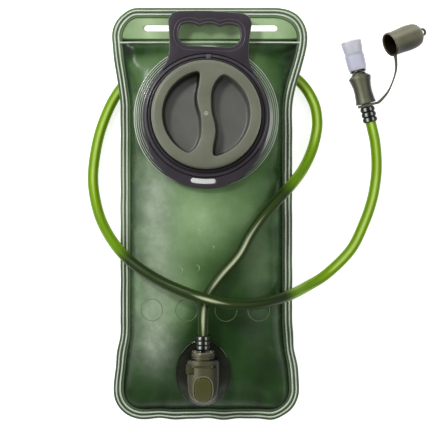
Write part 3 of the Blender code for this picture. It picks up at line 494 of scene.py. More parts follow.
class Look:
    """A node material while it is being built. Its colours are (red, green, blue) as on screen."""

    def __init__(self, name, **sockets):
        self.material = bpy.data.materials.new(name)
        self.material.use_nodes = True
        self.tree = self.material.node_tree
        self.shader = self.tree.nodes["Principled BSDF"]
        for socket, value in sockets.items():
            self.shader.inputs[socket.replace("_", " ")].default_value = value
        self.place = self.add("ShaderNodeTexCoord").outputs["Object"]

    def add(self, kind, **settings):
        node = self.tree.nodes.new(kind)
        for key, value in settings.items():
            setattr(node, key, value)
        return node

    def link(self, source, target):
        self.tree.links.new(source, target)

    def feed(self, node, index, value):
        """Links a socket to one of a node's inputs, or sets that input to a colour or a number."""
        if hasattr(value, "links"):
            self.link(value, node.inputs[index])
        else:
            node.inputs[index].default_value = srgb(*value) if isinstance(value, tuple) else value

    def noise(self, scale, detail=3.0, rough=0.5, stretch=None):
        """Noise in the object's own space, scaled by stretch along each axis."""
        node = self.add("ShaderNodeTexNoise")
        node.inputs["Scale"].default_value = scale
        node.inputs["Detail"].default_value = detail
        node.inputs["Roughness"].default_value = rough
        source = self.place
        if stretch:
            mapping = self.add("ShaderNodeMapping")
            mapping.inputs["Scale"].default_value = stretch
            self.link(self.place, mapping.inputs["Vector"])
            source = mapping.outputs["Vector"]
        self.link(source, node.inputs["Vector"])
        return node.outputs["Fac"]

    def ramp(self, factor, *stops):
        """Each stop is (position, colour) or (position, grey)."""
        node = self.add("ShaderNodeValToRGB")
        elements = node.color_ramp.elements
        while len(elements) < len(stops):
            elements.new(0.5)
        for element, (position, colour) in zip(elements, stops):
            element.position = position
            element.color = srgb(*colour) if isinstance(colour, tuple) else (colour, colour, colour, 1.0)
        self.link(factor, node.inputs["Fac"])
        return node.outputs["Color"]

    def mix(self, factor, first, second, mode="MIX"):
        """Mixes two colours by a factor. Each of the three is a socket or a value."""
        node = self.add("ShaderNodeMix", data_type="RGBA", blend_type=mode)
        for index, value in ((0, factor), (6, first), (7, second)):
            self.feed(node, index, value)
        return node.outputs[2]

    def math(self, operation, *values, clamp=False):
        node = self.add("ShaderNodeMath", operation=operation, use_clamp=clamp)
        for index, value in enumerate(values):
            self.feed(node, index, value)
        return node.outputs[0]

    def tones(self):
        """The three numbers that paint_tone stores for each point."""
        node = self.add("ShaderNodeAttribute", attribute_name="tone")
        split = self.add("ShaderNodeSeparateColor")
        self.link(node.outputs["Color"], split.inputs[0])
        return split.outputs[:3]

    def to(self, socket, source):
        self.link(source, self.shader.inputs[socket])

    def paint(self, colour, grain, darkest):
        """Sets the base colour, darkened by a grain."""
        speckle = self.ramp(grain, (0.3, darkest), (0.7, 1.0))
        self.to("Base Color", self.mix(1.0, colour, speckle, "MULTIPLY"))

    def bump(self, height, strength, distance):
        node = self.add("ShaderNodeBump")
        node.inputs["Strength"].default_value = strength
        node.inputs["Distance"].default_value = distance
        self.link(height, node.inputs["Height"])
        self.to("Normal", node.outputs["Normal"])


def moulded(name, dark, light, rough, coat, grain=900.0, bump=0.25, shade=None, glint=None):
    """Moulded plastic: a fine spark-eroded grain, slow colour drift and slightly uneven gloss; where shade
    and glint colours are given, also painted shade and a painted highlight line.
    """
    look = Look(name, Roughness=rough, Coat_Weight=coat, Coat_Roughness=0.12, Specular_IOR_Level=0.3)
    drift = look.noise(38.0, 4.0, 0.6)
    speck = look.noise(grain, 2.0, 0.5)
    colour = look.ramp(drift, (0.25, dark), (0.75, light))
    if shade:
        # Painted shade on the sides and in recesses, and a painted highlight line, as the piece's tones mark
        # them.
        deep, bright, _ = look.tones()
        colour = look.mix(bright, look.mix(deep, colour, shade), glint)
    look.paint(colour, speck, 0.86)
    look.to("Roughness", look.ramp(drift, (0.2, rough - 0.06), (0.8, rough + 0.08)))
    look.bump(speck, bump, 0.0002)
    return look.material


def film_look():
    """Tinted film over water: pale welds, painted light and shade that leave its sides and foot dark, and a
    painted grey sheen on the left.
    """
    look = Look("bag_film", Roughness=0.3, Coat_Weight=0.06, Coat_Roughness=0.12, Specular_IOR_Level=0.1)
    pale, light, sheen_mask = look.tones()
    cloud = look.noise(16.0, 4.0, 0.55, (1.0, 0.55, 1.0))
    mottle = look.noise(70.0, 4.0, 0.6)
    drift = look.math("MULTIPLY_ADD", cloud, 0.40, -0.20)
    colour = look.ramp(
        look.math("ADD", light, drift, clamp=True),
        (0.0, (22, 36, 16)),
        (0.25, (44, 74, 35)),
        (0.55, (88, 120, 72)),
        (0.8, (136, 166, 118)),
        (1.0, (190, 216, 168)),
    )
    # The painted grey sheen, broken up by the mottle.
    sheen_amount = look.math("MULTIPLY", sheen_mask, look.ramp(mottle, (0.3, 0.55), (0.7, 1.0)), clamp=True)
    colour = look.mix(sheen_amount, colour, (184, 198, 176))
    shade = look.ramp(mottle, (0.25, 0.84), (0.75, 1.0))
    colour = look.mix(1.0, colour, shade, "MULTIPLY")
    look.to("Base Color", look.mix(pale, colour, (204, 213, 190)))
    look.to("Roughness", look.ramp(mottle, (0.3, 0.2), (0.8, 0.36)))
    look.bump(mottle, 0.25, 0.0008)
    return look.material


def flange_look():
    """Clear ring over the film: painted highlights where its ridges catch the light, and painted shade
    towards its lower left.
    """
    look = Look(
        "clear_flange_rings", Roughness=0.22, Coat_Weight=0.25, Coat_Roughness=0.08, Specular_IOR_Level=0.3
    )
    pale, light, _ = look.tones()
    drift = look.noise(60.0, 3.0)
    colour = look.ramp(light, (0.0, (32, 44, 30)), (0.5, (80, 104, 70)), (1.0, (140, 165, 130)))
    look.paint(look.mix(pale, colour, (222, 228, 216)), drift, 0.85)
    look.bump(look.noise(700.0, 2.0), 0.1, 0.0002)
    return look.material


def hose_look():
    """Clear green tube with painted light: bright where the pale floor would show through it, dark where it
    lies over the bag, with a painted highlight stripe along its top and painted shade on its sides and
    underside.
    """
    look = Look("clear_green_hose", Roughness=0.3, Specular_IOR_Level=0.12)
    over, stripe, edge = look.tones()
    drift = look.noise(45.0, 3.0)
    floor = look.ramp(stripe, (0.0, (96, 138, 6)), (0.4, (136, 174, 14)), (1.0, (206, 238, 120)))
    floor = look.mix(edge, floor, (88, 122, 12))
    dark = look.ramp(stripe, (0.0, (26, 42, 10)), (0.4, (54, 74, 26)), (1.0, (214, 222, 184)))
    dark = look.mix(edge, dark, (16, 24, 8))
    colour = look.mix(over, floor, dark)
    look.paint(colour, drift, 0.92)
    look.bump(look.noise(220.0, 2.0), 0.04, 0.0003)
    return look.material


def glossy_black(name):
    look = Look(name, Roughness=0.12, Coat_Weight=1.0, Coat_Roughness=0.03)
    drift = look.noise(300.0, 3.0)
    look.to("Base Color", look.ramp(drift, (0.3, (8, 10, 8)), (0.7, (17, 21, 16))))
    look.bump(drift, 0.06, 0.0003)
    return look.material


def sleeve_look():
    """Near-black stretched tube with the crisp glints that its ridges show."""
    look = Look("barb_under_hose", Roughness=0.32, Specular_IOR_Level=0.15)
    glint, _, _ = look.tones()
    drift = look.noise(300.0, 3.0)
    dark = look.ramp(drift, (0.3, (12, 15, 10)), (0.7, (30, 36, 26)))
    look.to("Base Color", look.mix(glint, dark, (226, 230, 220)))
    look.bump(drift, 0.05, 0.0003)
    return look.material


def rubber_look():
    look = Look("seal_rubber_look", Roughness=0.6)
    speck = look.noise(800.0, 3.0)
    look.to("Base Color", look.ramp(speck, (0.3, (26, 26, 26)), (0.7, (42, 42, 42))))
    look.bump(speck, 0.15, 0.0002)
    return look.material


def steel_look():
    look = Look("spring_wire", Metallic=1.0, Roughness=0.28)
    streak = look.noise(500.0, 2.0, 0.5, (1.0, 1.0, 0.2))
    look.to("Base Color", look.ramp(streak, (0.3, (150, 150, 150)), (0.7, (200, 200, 200))))
    look.to("Roughness", look.ramp(streak, (0.2, 0.22), (0.8, 0.4)))
    return look.material


def silicone_look():
    """Milky silicone, bluer and denser where its inner sleeve shows through, with painted shade on its sides.
    """
    look = Look(
        "milky_silicone_look",
        Roughness=0.34,
        Subsurface_Weight=0.15,
        Subsurface_Scale=0.004,
        Coat_Weight=0.3,
        Coat_Roughness=0.2,
    )
    dense, edge, line = look.tones()
    drift = look.noise(160.0, 3.0, 0.5, (1.0, 0.3, 1.0))
    colour = look.ramp(dense, (0.0, (218, 218, 226)), (1.0, (210, 212, 230)))
    colour = look.mix(edge, colour, (170, 172, 194))
    colour = look.mix(line, colour, (186, 188, 208))
    look.paint(colour, drift, 0.90)
    look.bump(drift, 0.05, 0.0004)
    return look.material


def dust_look():
    look = Look("dust_cap_plastic", Roughness=0.4, Specular_IOR_Level=0.25)
    hidden, under, bright = look.tones()
    drift = look.noise(60.0, 4.0)
    speck = look.noise(900.0, 2.0)
    colour = look.ramp(drift, (0.3, (96, 95, 74)), (0.7, (118, 116, 94)))
    # Painted shade on the right side and inside the cap, and a painted highlight line left of its middle.
    colour = look.mix(bright, look.mix(under, colour, (14, 13, 7)), (170, 170, 148))
    colour = look.mix(hidden, colour, (34, 28, 18))
    look.paint(colour, speck, 0.9)
    look.bump(speck, 0.2, 0.0002)
    return look.material


def collar_look():
    """Dark purplish plastic, with painted shade that makes it near black down in its grooves and on its inner
    walls, and painted highlights on the handle's top edges.
    """
    look = Look(
        "collar_plastic", Roughness=0.34, Coat_Weight=0.25, Coat_Roughness=0.15, Specular_IOR_Level=0.4
    )
    deep, edge_highlight, _ = look.tones()
    drift = look.noise(38.0, 4.0, 0.6)
    speck = look.noise(900.0, 2.0)
    colour = look.ramp(drift, (0.25, (46, 41, 48)), (0.75, (62, 56, 64)))
    colour = look.mix(edge_highlight, colour, (120, 114, 124))
    colour = look.mix(deep, colour, (12, 10, 12))
    look.paint(colour, speck, 0.88)
    look.bump(speck, 0.25, 0.0002)
    return look.material


def cap_look():
    """The cap's plastic, greyer down in its pockets, with painted shade on the pockets' walls."""
    look = Look("screw_cap_plastic", Roughness=0.42, Coat_Weight=0.1, Coat_Roughness=0.25)
    deep, side, _ = look.tones()
    drift = look.noise(34.0, 4.0, 0.6)
    speck = look.noise(1100.0, 2.0)
    colour = look.ramp(drift, (0.25, (104, 107, 88)), (0.75, (120, 124, 105)))
    floor = look.ramp(drift, (0.25, (96, 97, 92)), (0.75, (110, 110, 105)))
    wall = look.ramp(deep, (0.05, 0.0), (0.35, 1.0))
    colour = look.mix(wall, colour, floor)
    colour = look.mix(side, colour, (30, 31, 22))
    look.paint(colour, speck, 0.9)
    look.to("Roughness", look.ramp(drift, (0.2, 0.36), (0.8, 0.5)))
    look.bump(speck, 0.25, 0.0002)
    return look.material


# Plastics and welds: material name, its darker and lighter colour, roughness and coat. Some also give the
# scale of the grain, the strength of its bump, and the colours of the painted shade on the sides and of the
# painted highlight line.
PLASTICS = {
    "rim": ("film_rim", (66, 74, 60), (104, 112, 96), 0.3, 0.2),
    "weld": ("weld_ridge", (216, 222, 208), (238, 242, 232), 0.3, 0.3),
    "weld_shade": ("weld_valley", (38, 52, 34), (60, 78, 54), 0.4, 0.1),
    "pale": ("bubble_edge_highlight", (170, 190, 160), (190, 206, 180), 0.15, 0.5),
    "emboss": ("embossed_film", (96, 120, 86), (124, 146, 112), 0.3, 0.2),
    "white": ("pale_boss", (214, 216, 212), (236, 238, 234), 0.3, 0.2),
    "bead": ("collar_bead_plastic", (70, 64, 72), (90, 84, 92), 0.3, 0.25),
    "neck": ("neck_plastic", (34, 30, 35), (46, 42, 48), 0.38, 0.15),
    "stop": ("collar_stop_plastic", (92, 86, 94), (108, 102, 110), 0.35, 0.2),
    "pip": ("cap_pip_plastic", (166, 168, 154), (182, 184, 170), 0.35, 0.2),
    "cap_dull": ("tether_plastic", (84, 83, 68), (102, 101, 86), 0.45, 0.1),
    # A lighter olive for raised rims: the rims are real, and their lighter colour is a painted highlight.
    "olive_light": ("olive_rim_plastic", (112, 110, 84), (130, 128, 100), 0.3, 0.2),
    "button": ("button_plastic", (74, 74, 36), (90, 90, 48), 0.36, 0.1),
    "smoked": ("smoked_plastic", (30, 35, 22), (44, 52, 32), 0.28, 0.1, 500.0, 0.08),
    "olive": (
        "olive_plastic", (76, 74, 50), (92, 90, 64), 0.36, 0.1, 900.0, 0.25, (8, 9, 4), (160, 158, 128)
    ),
    "valve_olive": (
        "valve_plastic", (96, 96, 76), (118, 117, 94), 0.36, 0.1, 900.0, 0.25, (10, 10, 5), (174, 174, 154)
    ),
}


def make_looks():
    return {key: moulded(*row) for key, row in PLASTICS.items()} | {
        "film": film_look(),
        "flange": flange_look(),
        "collar": collar_look(),
        "cap": cap_look(),
        "black": glossy_black("plug_flange_plastic"),
        "black_ring": glossy_black("black_ring_plastic"),
        "sleeve": sleeve_look(),
        "hose": hose_look(),
        "silicone": silicone_look(),
        "dust": dust_look(),
        "rubber": rubber_look(),
        "steel": steel_look(),
    }


# ---- Bag ----


def quarter_round(value):
    return np.sqrt(1 - (1 - np.clip(value, 0.0, 1.0)) ** 2)


def side_at(y):
    top = TOP_FLARE * ease((y - 0.095) / 0.070)
    foot = FOOT_FLARE * ease((-0.100 - y) / 0.064)
    return BAG_WAIST / 2 + top + foot


def from_seam(x, y):
    side = side_at(y) - SEAM_MARGIN - np.abs(x)
    foot = y + BAG_LENGTH / 2 - SEAM_MARGIN
    top = BAG_LENGTH / 2 - HANG_BAND - y
    nearest = np.minimum(np.minimum(side, foot), top)
    for end, radius in ((foot, CORNER_RADIUS - SEAM_MARGIN), (top, 0.010)):
        corner = (side < radius) & (end < radius)
        rounded = radius - np.hypot(radius - side, radius - end)
        nearest = np.where(corner, np.minimum(nearest, rounded), nearest)
    return side, foot, top, nearest


def port_plane(y):
    return PORT_PLACE[2] + math.tan(PORT_TILT) * (y - PORT_PLACE[1])


def outlet_plane(y):
    return OUTLET_PLACE[2] + math.tan(OUTLET_TILT) * (y - OUTLET_PLACE[1])


def port_reach(x, y):
    return np.hypot(x, (y - PORT_PLACE[1]) / math.cos(PORT_TILT))


def outlet_reach(x, y):
    return np.hypot((x - OUTLET_PLACE[0]) / OUTLET_FLAT[0], (y - OUTLET_FLAT_Y) / OUTLET_FLAT[1])


def front_height(x, y):
    """Height of the front film's outer face, before its wrinkles."""
    seam = SEAM_HEIGHT + GAP / 2 + FILM
    _, foot, top, nearest = from_seam(x, y)
    width = side_at(y) - SEAM_MARGIN
    crest = -0.0015 * np.log(np.exp(-BELLY_HEIGHT / 0.0015) + np.exp(-port_plane(y) / 0.0015))
    crown = np.sqrt(np.clip(1 - (np.abs(x) / width) ** 2.2, 0.0, 1.0))
    free = seam + (crest - seam) * crown * quarter_round(foot / FOOT_RISE) * quarter_round(top / TOP_RISE)
    port_share = 1 - ease((port_reach(x, y) - FLAT_RADIUS) / SKIRT_FADE)
    free = free + (port_plane(y) - free) * port_share
    free = free + (outlet_plane(y) - free) * (1 - ease((outlet_reach(x, y) - 1) / 0.6))
    return np.where(nearest <= 0, seam, seam + (free - seam) * quarter_round(nearest / EDGE_RISE))


def front_z(x, y):
    """The front film's height at one point, before its wrinkles."""
    return float(front_height(np.array([x]), np.array([y]))[0])


def back_height(x, y):
    seam = SEAM_HEIGHT - GAP / 2 - FILM
    side, foot, top, nearest = from_seam(x, y)
    top_share = 1 - (1 - np.clip(top / BACK_TOP_RISE, 0.0, 1.0)) ** 1.3
    landed = quarter_round(side / BACK_SIDE_RISE) * quarter_round(foot / BACK_FOOT_RISE) * top_share
    return np.where(nearest <= 0, seam, seam * (1 - landed))


def waves(along, *parts):
    """A sum of sine waves, each (length, size, start)."""
    return sum(size * np.sin(2 * math.pi * (along / length + start)) for length, size, start in parts)


def pucker(x, y):
    """How far the film is drawn in or out of its smooth shape by the gathers along its seams."""
    side, foot, top, nearest = from_seam(x, y)
    sign = np.where(x > 0, 0.37, 0.0)
    along_side = waves(y, (0.031, 0.9, sign), (0.0173, 0.5, 0.3 + sign), (0.055, 0.7, 0.6 - sign))
    along_foot = waves(x, (0.027, 0.9, 0.1), (0.0148, 0.5, 0.45), (0.049, 0.6, 0.8))
    along_top = waves(x, (0.034, 0.6, 0.2), (0.019, 0.35, 0.7))
    gathers = along_side * fading(side, 0.012) + along_foot * fading(foot, 0.014)
    gathers += along_top * fading(top, 0.012)
    return 0.00115 * gathers * ease(nearest / 0.007)


def swells(x, y):
    """Slow dents and folds across the belly."""
    slant = waves(0.8 * x + 0.6 * y, (0.083, 0.6, 0.15), (0.047, 0.25, 0.5))
    cross = waves(0.35 * x - 0.94 * y, (0.118, 0.6, 0.3), (0.061, 0.25, 0.05))
    nearest = from_seam(x, y)[3]
    calm = ease((port_reach(x, y) - FLANGE_RADIUS - 0.004) / 0.02) * ease((outlet_reach(x, y) - 2.1) / 0.8)
    return 0.0009 * (slant + cross) * calm * ease(nearest / 0.02)


def top_lean(y):
    """How far the seam leans out near the top corners."""
    return 0.0030 * ease((y - 0.100) / 0.060)


def seam_shift(x, y):
    """Ripples of the welded edge: sideways, along and up."""
    side, foot, _, nearest = from_seam(x, y)
    fade = 1 - ease(nearest / 0.012)
    sign = np.where(x > 0, 0.41, 0.0)
    at_side = fading(side + SEAM_MARGIN, 0.010) * (0.25 + 0.75 * ease((-0.06 - y) / 0.07))
    at_foot = fading(foot + SEAM_MARGIN, 0.010)
    wide = waves(y, (0.044, 0.5, 0.2 + sign), (0.027, 0.35, sign)) * at_side
    long = waves(x, (0.041, 0.7, 0.35), (0.023, 0.4, 0.1)) * at_foot
    rise = waves(y, (0.038, 0.5, 0.7 - sign), (0.024, 0.35, 0.2 + sign)) * at_side
    rise = rise + waves(x, (0.036, 0.7, 0.6), (0.0215, 0.4, 0.15)) * at_foot
    lean = top_lean(y) * ease((np.abs(x) - 0.062) / 0.018)
    return 0.0008 * np.sign(x) * wide * fade + lean, 0.0009 * long * fade, 0.0010 * rise * fade


# How far the weld's ridges stand above the film.
WELD_RISE = 0.00035


def weld_profile(inset):
    """How far the welded edge stands up, 0 to 1, at this distance in from the bag's rim."""
    return bell(inset, 0.0021, 0.0008) + bell(inset, 0.0052, 0.0008) + 0.4 * bell(inset, 0.0080, 0.0006)


# Points of the rim along a side, along half an end and round a corner.
SIDE_STEPS = 110
END_STEPS = 26
CORNER_STEPS = 12


def rim_loop(inset):
    """The bag's outline moved in, with the same number of points whatever the inset."""
    radius = CORNER_RADIUS - inset * 0.9
    half = BAG_LENGTH / 2 - inset
    low_y, high_y = -half + radius, half - radius
    low_x = float(side_at(low_y)) - inset - radius
    high_x = float(side_at(high_y)) - inset - radius
    right = [(low_x * i / END_STEPS, -half) for i in range(END_STEPS)]
    right += arc((low_x, low_y), radius, -90, 0, CORNER_STEPS)
    for i in range(1, SIDE_STEPS):
        y = low_y + (high_y - low_y) * i / SIDE_STEPS
        right.append((float(side_at(y)) - inset, y))
    right += arc((high_x, high_y), radius, 0, 90, CORNER_STEPS)
    right += [(high_x * (1 - i / END_STEPS), half) for i in range(1, END_STEPS + 1)]
    left = [(-x, y) for x, y in reversed(right[1:-1])]
    return right + left


def rim_line(inset):
    """X and Y of the outline moved in, and how far the seam's ripples shift each point."""
    x, y = np.array(rim_loop(inset)).T
    return x, y, *seam_shift(x, y)


def hang_slot(left, right):
    radius = HANG_SLOT_WIDTH / 2
    high = arc((right - radius, HANG_SLOT_Y), radius, -90, 90, 8)
    low = arc((left + radius, HANG_SLOT_Y), radius, 90, 270, 8)
    return high + low


# How far in from the rim the rings of points of the welded margin lie.
MARGIN_INSETS = [
    *(0.0, 0.0006, 0.0012, 0.0017, 0.0021, 0.0025, 0.0031, 0.0037, 0.0043, 0.0048, 0.0052, 0.0056, 0.0062),
    *(0.0068, 0.0074, 0.0080, 0.0086, 0.0091, 0.0096, 0.0102, 0.0109, 0.0117, 0.0126, 0.0137, 0.0150, 0.0165),
]
# Closer rows of points across the seam under the hang band, by their Y.
BAND_ROWS = (0.1545, 0.1560, 0.1572, 0.1580, 0.1585, 0.1590, 0.1598, 0.1610, 0.1624)
FILM_SPACING = 0.0027


def skin_data(holes, spacing):
    """Points in plan, their distance in from the rim, and faces: rings at the rim, triangles inside."""
    loops = [rim_loop(inset) for inset in MARGIN_INSETS]
    size = len(loops[0])
    points = [p for loop in loops[:-1] for p in loop]
    insets = [inset for inset in MARGIN_INSETS[:-1] for _ in range(size)]
    faces = ring_faces(len(loops) - 2, size)
    extra = []
    for row, y in enumerate(np.arange(-0.178, 0.1805, spacing)):
        shift = spacing / 2 if row % 2 else 0.0
        extra += [(x + shift, y) for x in np.arange(-0.084, 0.0845, spacing)]
    for y in BAND_ROWS:
        extra += [(x, y) for x in np.arange(-0.080, 0.0805, 0.003)]
    extra = np.array(extra)
    keep = inside_many(extra, rim_loop(MARGIN_INSETS[-1] + spacing * 0.4))
    near_row = (extra[:, 1] > BAND_ROWS[0] - 0.001) & (extra[:, 1] < BAND_ROWS[-1] + 0.0008)
    keep &= ~near_row | np.isin(np.round(extra[:, 1], 4), BAND_ROWS)
    for hole in holes:
        middle = np.mean(hole, axis=0)
        wider = [tuple(middle + (np.array(p) - middle) * 1.03) for p in hole]
        keep &= ~inside_many(extra, wider)
    made, triangles = fill([loops[-2], *holes], [tuple(p) for p in extra[keep]])
    faces += moved_faces(triangles, len(points))
    points += [tuple(p) for p in made]
    insets += [0.02] * len(made)
    return np.array(points), np.array(insets), faces


def press_under_hose(points, side):
    """Pushes film points down (side -1) or up (side 1) until the hose clears them."""
    reach = HOSE_RADIUS + GAP
    made = points.copy()
    for spot in smooth_curve(HOSE_ROUTE, 520):
        flat = np.hypot(made[:, 0] - spot.x, made[:, 1] - spot.y)
        near = flat < reach
        if not near.any():
            continue
        limit = spot.z + side * np.sqrt(reach**2 - flat[near] ** 2)
        height = made[near, 2]
        touched = (side * (limit - height) > 0) & (side * (height - spot.z) > -0.004)
        made[near, 2] = np.where(touched, limit, height)
    return made


# Painted light on the folds: how much lighter the film is painted for each metre that a fold stands out.
FOLD_SHADE = 80.0


def film_tones(x, y, insets, bulge):
    """The three numbers that the film's material reads: pale weld, painted light and shade, and a painted
    grey sheen.
    """
    pale = np.clip(0.35 * weld_profile(insets), 0, 1)
    # Painted light and shade: lighter in the middle and upper part, darker along the seams and just under the
    # hang band, and lighter where folds stand out.
    upper = ease((y + 0.108 + 0.022 * ease((-0.005 - x) / 0.020)) / 0.050)
    glow = -0.010 - 0.014 * ease((-0.010 - y) / 0.050)
    light = 0.20 + 0.58 * upper * bell(x, glow, 0.047)
    light += 0.20 * bell(x, 0.047, 0.020) * ease((y + 0.075) / 0.035)
    light += 0.12 * bell(x, -0.058, 0.012) * ease((y - 0.045) / 0.05)
    light -= 0.25 * fading(from_seam(x, y)[3], 0.0035)
    light -= 0.30 * bell(y, 0.1500, 0.0060)
    light += FOLD_SHADE * bulge
    in_band = ease((y - 0.1600) / 0.002)
    band_light = 0.84 + 0.16 * bell(np.abs(x), 0.050, 0.018)
    light += (band_light - light) * in_band
    seam = 0.38 + 0.2 * ease((y - 0.12) / 0.05) + 0.3 * (x < 0) * bell(y, 0.010, 0.070)
    light = np.where(insets < 0.0089, seam, light)
    # A painted grey sheen on the left, a faint one on the right, and none in the hang band.
    sheen_mask = bell(x, -0.046, 0.016) * ease((0.075 - y) / 0.05) * ease((y + 0.165) / 0.05)
    sheen_mask += 0.08 * bell(x, 0.046, 0.010) * ease((0.02 - y) / 0.06) * ease((y + 0.155) / 0.06)
    sheen_mask *= 1 - in_band
    return np.stack([pale, np.clip(light, 0, 1), np.clip(0.72 * sheen_mask, 0, 1)])


def add_skin(name, node, holes, height, outwards, look, spacing):
    """One film of the bag, with its wrinkles, welds and thickness."""
    points, insets, faces = skin_data(holes, spacing)
    x, y = points.T
    bulge = (pucker(x, y) + swells(x, y)) * (1 if outwards > 0 else 0.35)
    z = height(x, y)
    seam_z = WELD_RISE * weld_profile(insets) * outwards
    dx, dy, dz = seam_shift(x, y)
    lift = np.where(z > 0.004, bulge * outwards, 0.0)
    made = np.stack([x + dx, y + dy, z + lift + seam_z + dz], axis=1)
    made[:, 2] = np.maximum(made[:, 2], 0.0)
    made = press_under_hose(made, -outwards)
    obj = place_mesh(name, made, faces, look, "bag", "green_film")
    tones = film_tones(x, y, insets, bulge)
    # Joining doubles can drop points, so each kept point takes the tone of the nearest one made.
    kept = points_of(obj)
    if len(kept) != len(made):
        tree = KDTree(len(made))
        for i, p in enumerate(made):
            tree.insert(p, i)
        tree.balance()
        tones = tones[:, [tree.find(p)[1] for p in kept]]
    paint_tone(obj, *tones)
    thicken(obj, FILM, outwards)
    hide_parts(node)
    return obj


def add_bag(looks):
    port = [(x, PORT_PLACE[1] + y * math.cos(PORT_TILT)) for x, y in circle(NECK_RADIUS + GAP, 72)]
    fine = FILM_SPACING
    slots = [hang_slot(*ends) for ends in HANG_SLOTS]
    front = add_skin("front_skin", "front_film", [port, *slots], front_height, 1, looks["film"], fine)
    back = add_skin("back_skin", "back_film", slots, back_height, -1, looks["film"], fine * 1.3)
    x, y, dx, dy, dz = rim_line(0.0)
    line = np.stack([x * 0.9985 + dx, y * 0.9992 + dy, SEAM_HEIGHT + dz], axis=1)
    sweep("rim_bead", line, 0.0007, looks["rim"], "bag", "green_film", 8, closed=True)
    add_weld_lines(looks)


# Here and under the hang band, the weld_shade lines are painted shade: thin dark lines beside and between the
# pale ridges.
# Crisp raised lines of the side seam: how far in from the rim, how thick, and of which material.
SEAM_LINES = (
    (0.0022, 0.00062, "weld"),
    (0.0057, 0.00072, "weld"),
    (0.0040, 0.00030, "weld_shade"),
    (0.0088, 0.00040, "weld_shade"),
)
# The same under the hang band: its Y, thickness, material and how far short of the side it stops.
BAND_LINES = (
    (0.1583, 0.00075, "weld", 0.0055),
    (0.1612, 0.00032, "weld_shade", 0.0100),
    (0.1562, 0.00035, "weld_shade", 0.0075),
)


def add_weld_lines(looks):
    for number, (inset, size, look) in enumerate(SEAM_LINES):
        x, y, dx, dy, dz = rim_line(inset)
        z = front_height(x, y) + dz + WELD_RISE * weld_profile(inset)
        line = np.stack([x + dx, y + dy, z], axis=1)
        sweep(f"seam_line_{number}", line, size, looks[look], "bag", "green_film", 8, closed=True)
    for number, (y, size, look, short) in enumerate(BAND_LINES):
        reach = float(side_at(y)) - short
        lean = float(top_lean(y))
        spots = [(x + lean * abs(x) / reach, x) for x in np.linspace(-reach, reach, 90)]
        points = [(moved, y, on_film(x, y, 0.0001)) for moved, x in spots]
        sweep(f"band_line_{number}", points, size, looks[look], "bag", "green_film", 8)


def on_film(x, y, lift):
    """A point this far above the front film's outer face, wrinkles included."""
    x, y = np.array([x]), np.array([y])
    return float((front_height(x, y) + pucker(x, y) + swells(x, y))[0]) + lift


# Small bubbles held in the film, each drawn as the painted highlight on its edge: X, Y, radius and the angle
# in degrees where that highlight starts.
BUBBLES = (
    (-0.008, -0.017, 0.0026, 300), (-0.024, -0.052, 0.0024, 290), (-0.009, -0.050, 0.0029, 285),
    (0.006, -0.031, 0.0012, 300),
)
BUBBLE_ARC = 170
# Four plain raised rings in a row across the foot of the bag.
EMBOSSED_X = (-0.050, -0.018, 0.018, 0.048)
EMBOSSED_Y = -0.0885
EMBOSSED_RADIUS = 0.0100


def add_film_marks(looks):
    """The bubbles' painted highlight edges, thin at both ends, and the plain raised rings."""
    for number, (x, y, size, start) in enumerate(BUBBLES):
        edge = arc((x, y), size, start, start + BUBBLE_ARC, 14)
        points = [(px, py, on_film(px, py, 0.00005)) for px, py in edge]
        radii = [0.00008 + 0.00027 * math.sin(math.pi * i / 14) for i in range(15)]
        sweep(f"bubble_{number}", points, radii, looks["pale"], "bag", "green_film", 6)
    for number, x in enumerate(EMBOSSED_X):
        ring = circle(EMBOSSED_RADIUS, 48, (x, EMBOSSED_Y))
        points = [(px, py, on_film(px, py, -0.00005)) for px, py in ring]
        name = f"embossed_ring_{number}"
        sweep(name, points, 0.00036, looks["emboss"], "bag", "green_film", 6, closed=True)


# ---- Fill port ----


def add_weld_flange(looks):
    """The clear ring welded to the film, its fine concentric ridges showing outside the collar."""
    steps = 144
    ridge_pitch = 0.0019
    radii = [NECK_RADIUS + 0.0006, *np.arange(0.0485, FLANGE_RADIUS, 0.00022), FLANGE_RADIUS]
    verts = []
    tones = []
    for radius in radii:
        ridged = ease((radius - 0.0560) / 0.002)
        wave = 0.5 + 0.5 * math.cos(2 * math.pi * (FLANGE_RADIUS - 0.0004 - radius) / ridge_pitch)
        rim = bell(radius, FLANGE_RADIUS - 0.0006, 0.0004)
        beside_collar = bell(radius, COLLAR_RADIUS + 0.0014, 0.0013)
        lift = GAP + 0.0010 + 0.00030 * wave * ridged + 0.0002 * rim
        for i in range(steps):
            angle = 2 * math.pi * i / steps
            x = radius * math.cos(angle)
            y = PORT_PLACE[1] + radius * math.sin(angle) * math.cos(PORT_TILT)
            verts.append((x, y, front_z(x, y) + lift))
            # Painted highlights on the ridges and the rim, stronger to the upper left, a painted highlight
            # crescent beside the collar on the right, and painted shade towards the lower left.
            upper_left = 0.5 + 0.5 * math.cos(angle - math.radians(140))
            lower_left = max(0.0, math.cos(angle - math.radians(235)))
            pale = ridged * wave**4 * (0.34 + 0.42 * upper_left) + rim * (0.15 + 0.25 * upper_left)
            from_right = angle if angle < math.pi else angle - 2 * math.pi
            pale += 1.3 * bell(from_right, -0.19, 0.42) * beside_collar
            tones.append((min(pale, 1.0), 0.62 * (1 - 0.75 * lower_left) * (0.5 + 0.5 * wave)))
    faces = ring_faces(len(radii) - 1, steps)
    obj = place_mesh("weld_flange_rings", verts, faces, looks["flange"], "bag", "clear_flange")
    paint_tone(obj, *zip(*tones))
    thicken(obj, 0.0009)
    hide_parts("weld_flange")
    solid = plate_data([lip_slot(GAP)], 0.0012, HANDLE_HIGH - 0.0006)
    bevel(place_mesh("lip_boss", *solid, looks["white"], "bag", "clear_flange", PORT), 0.0004)


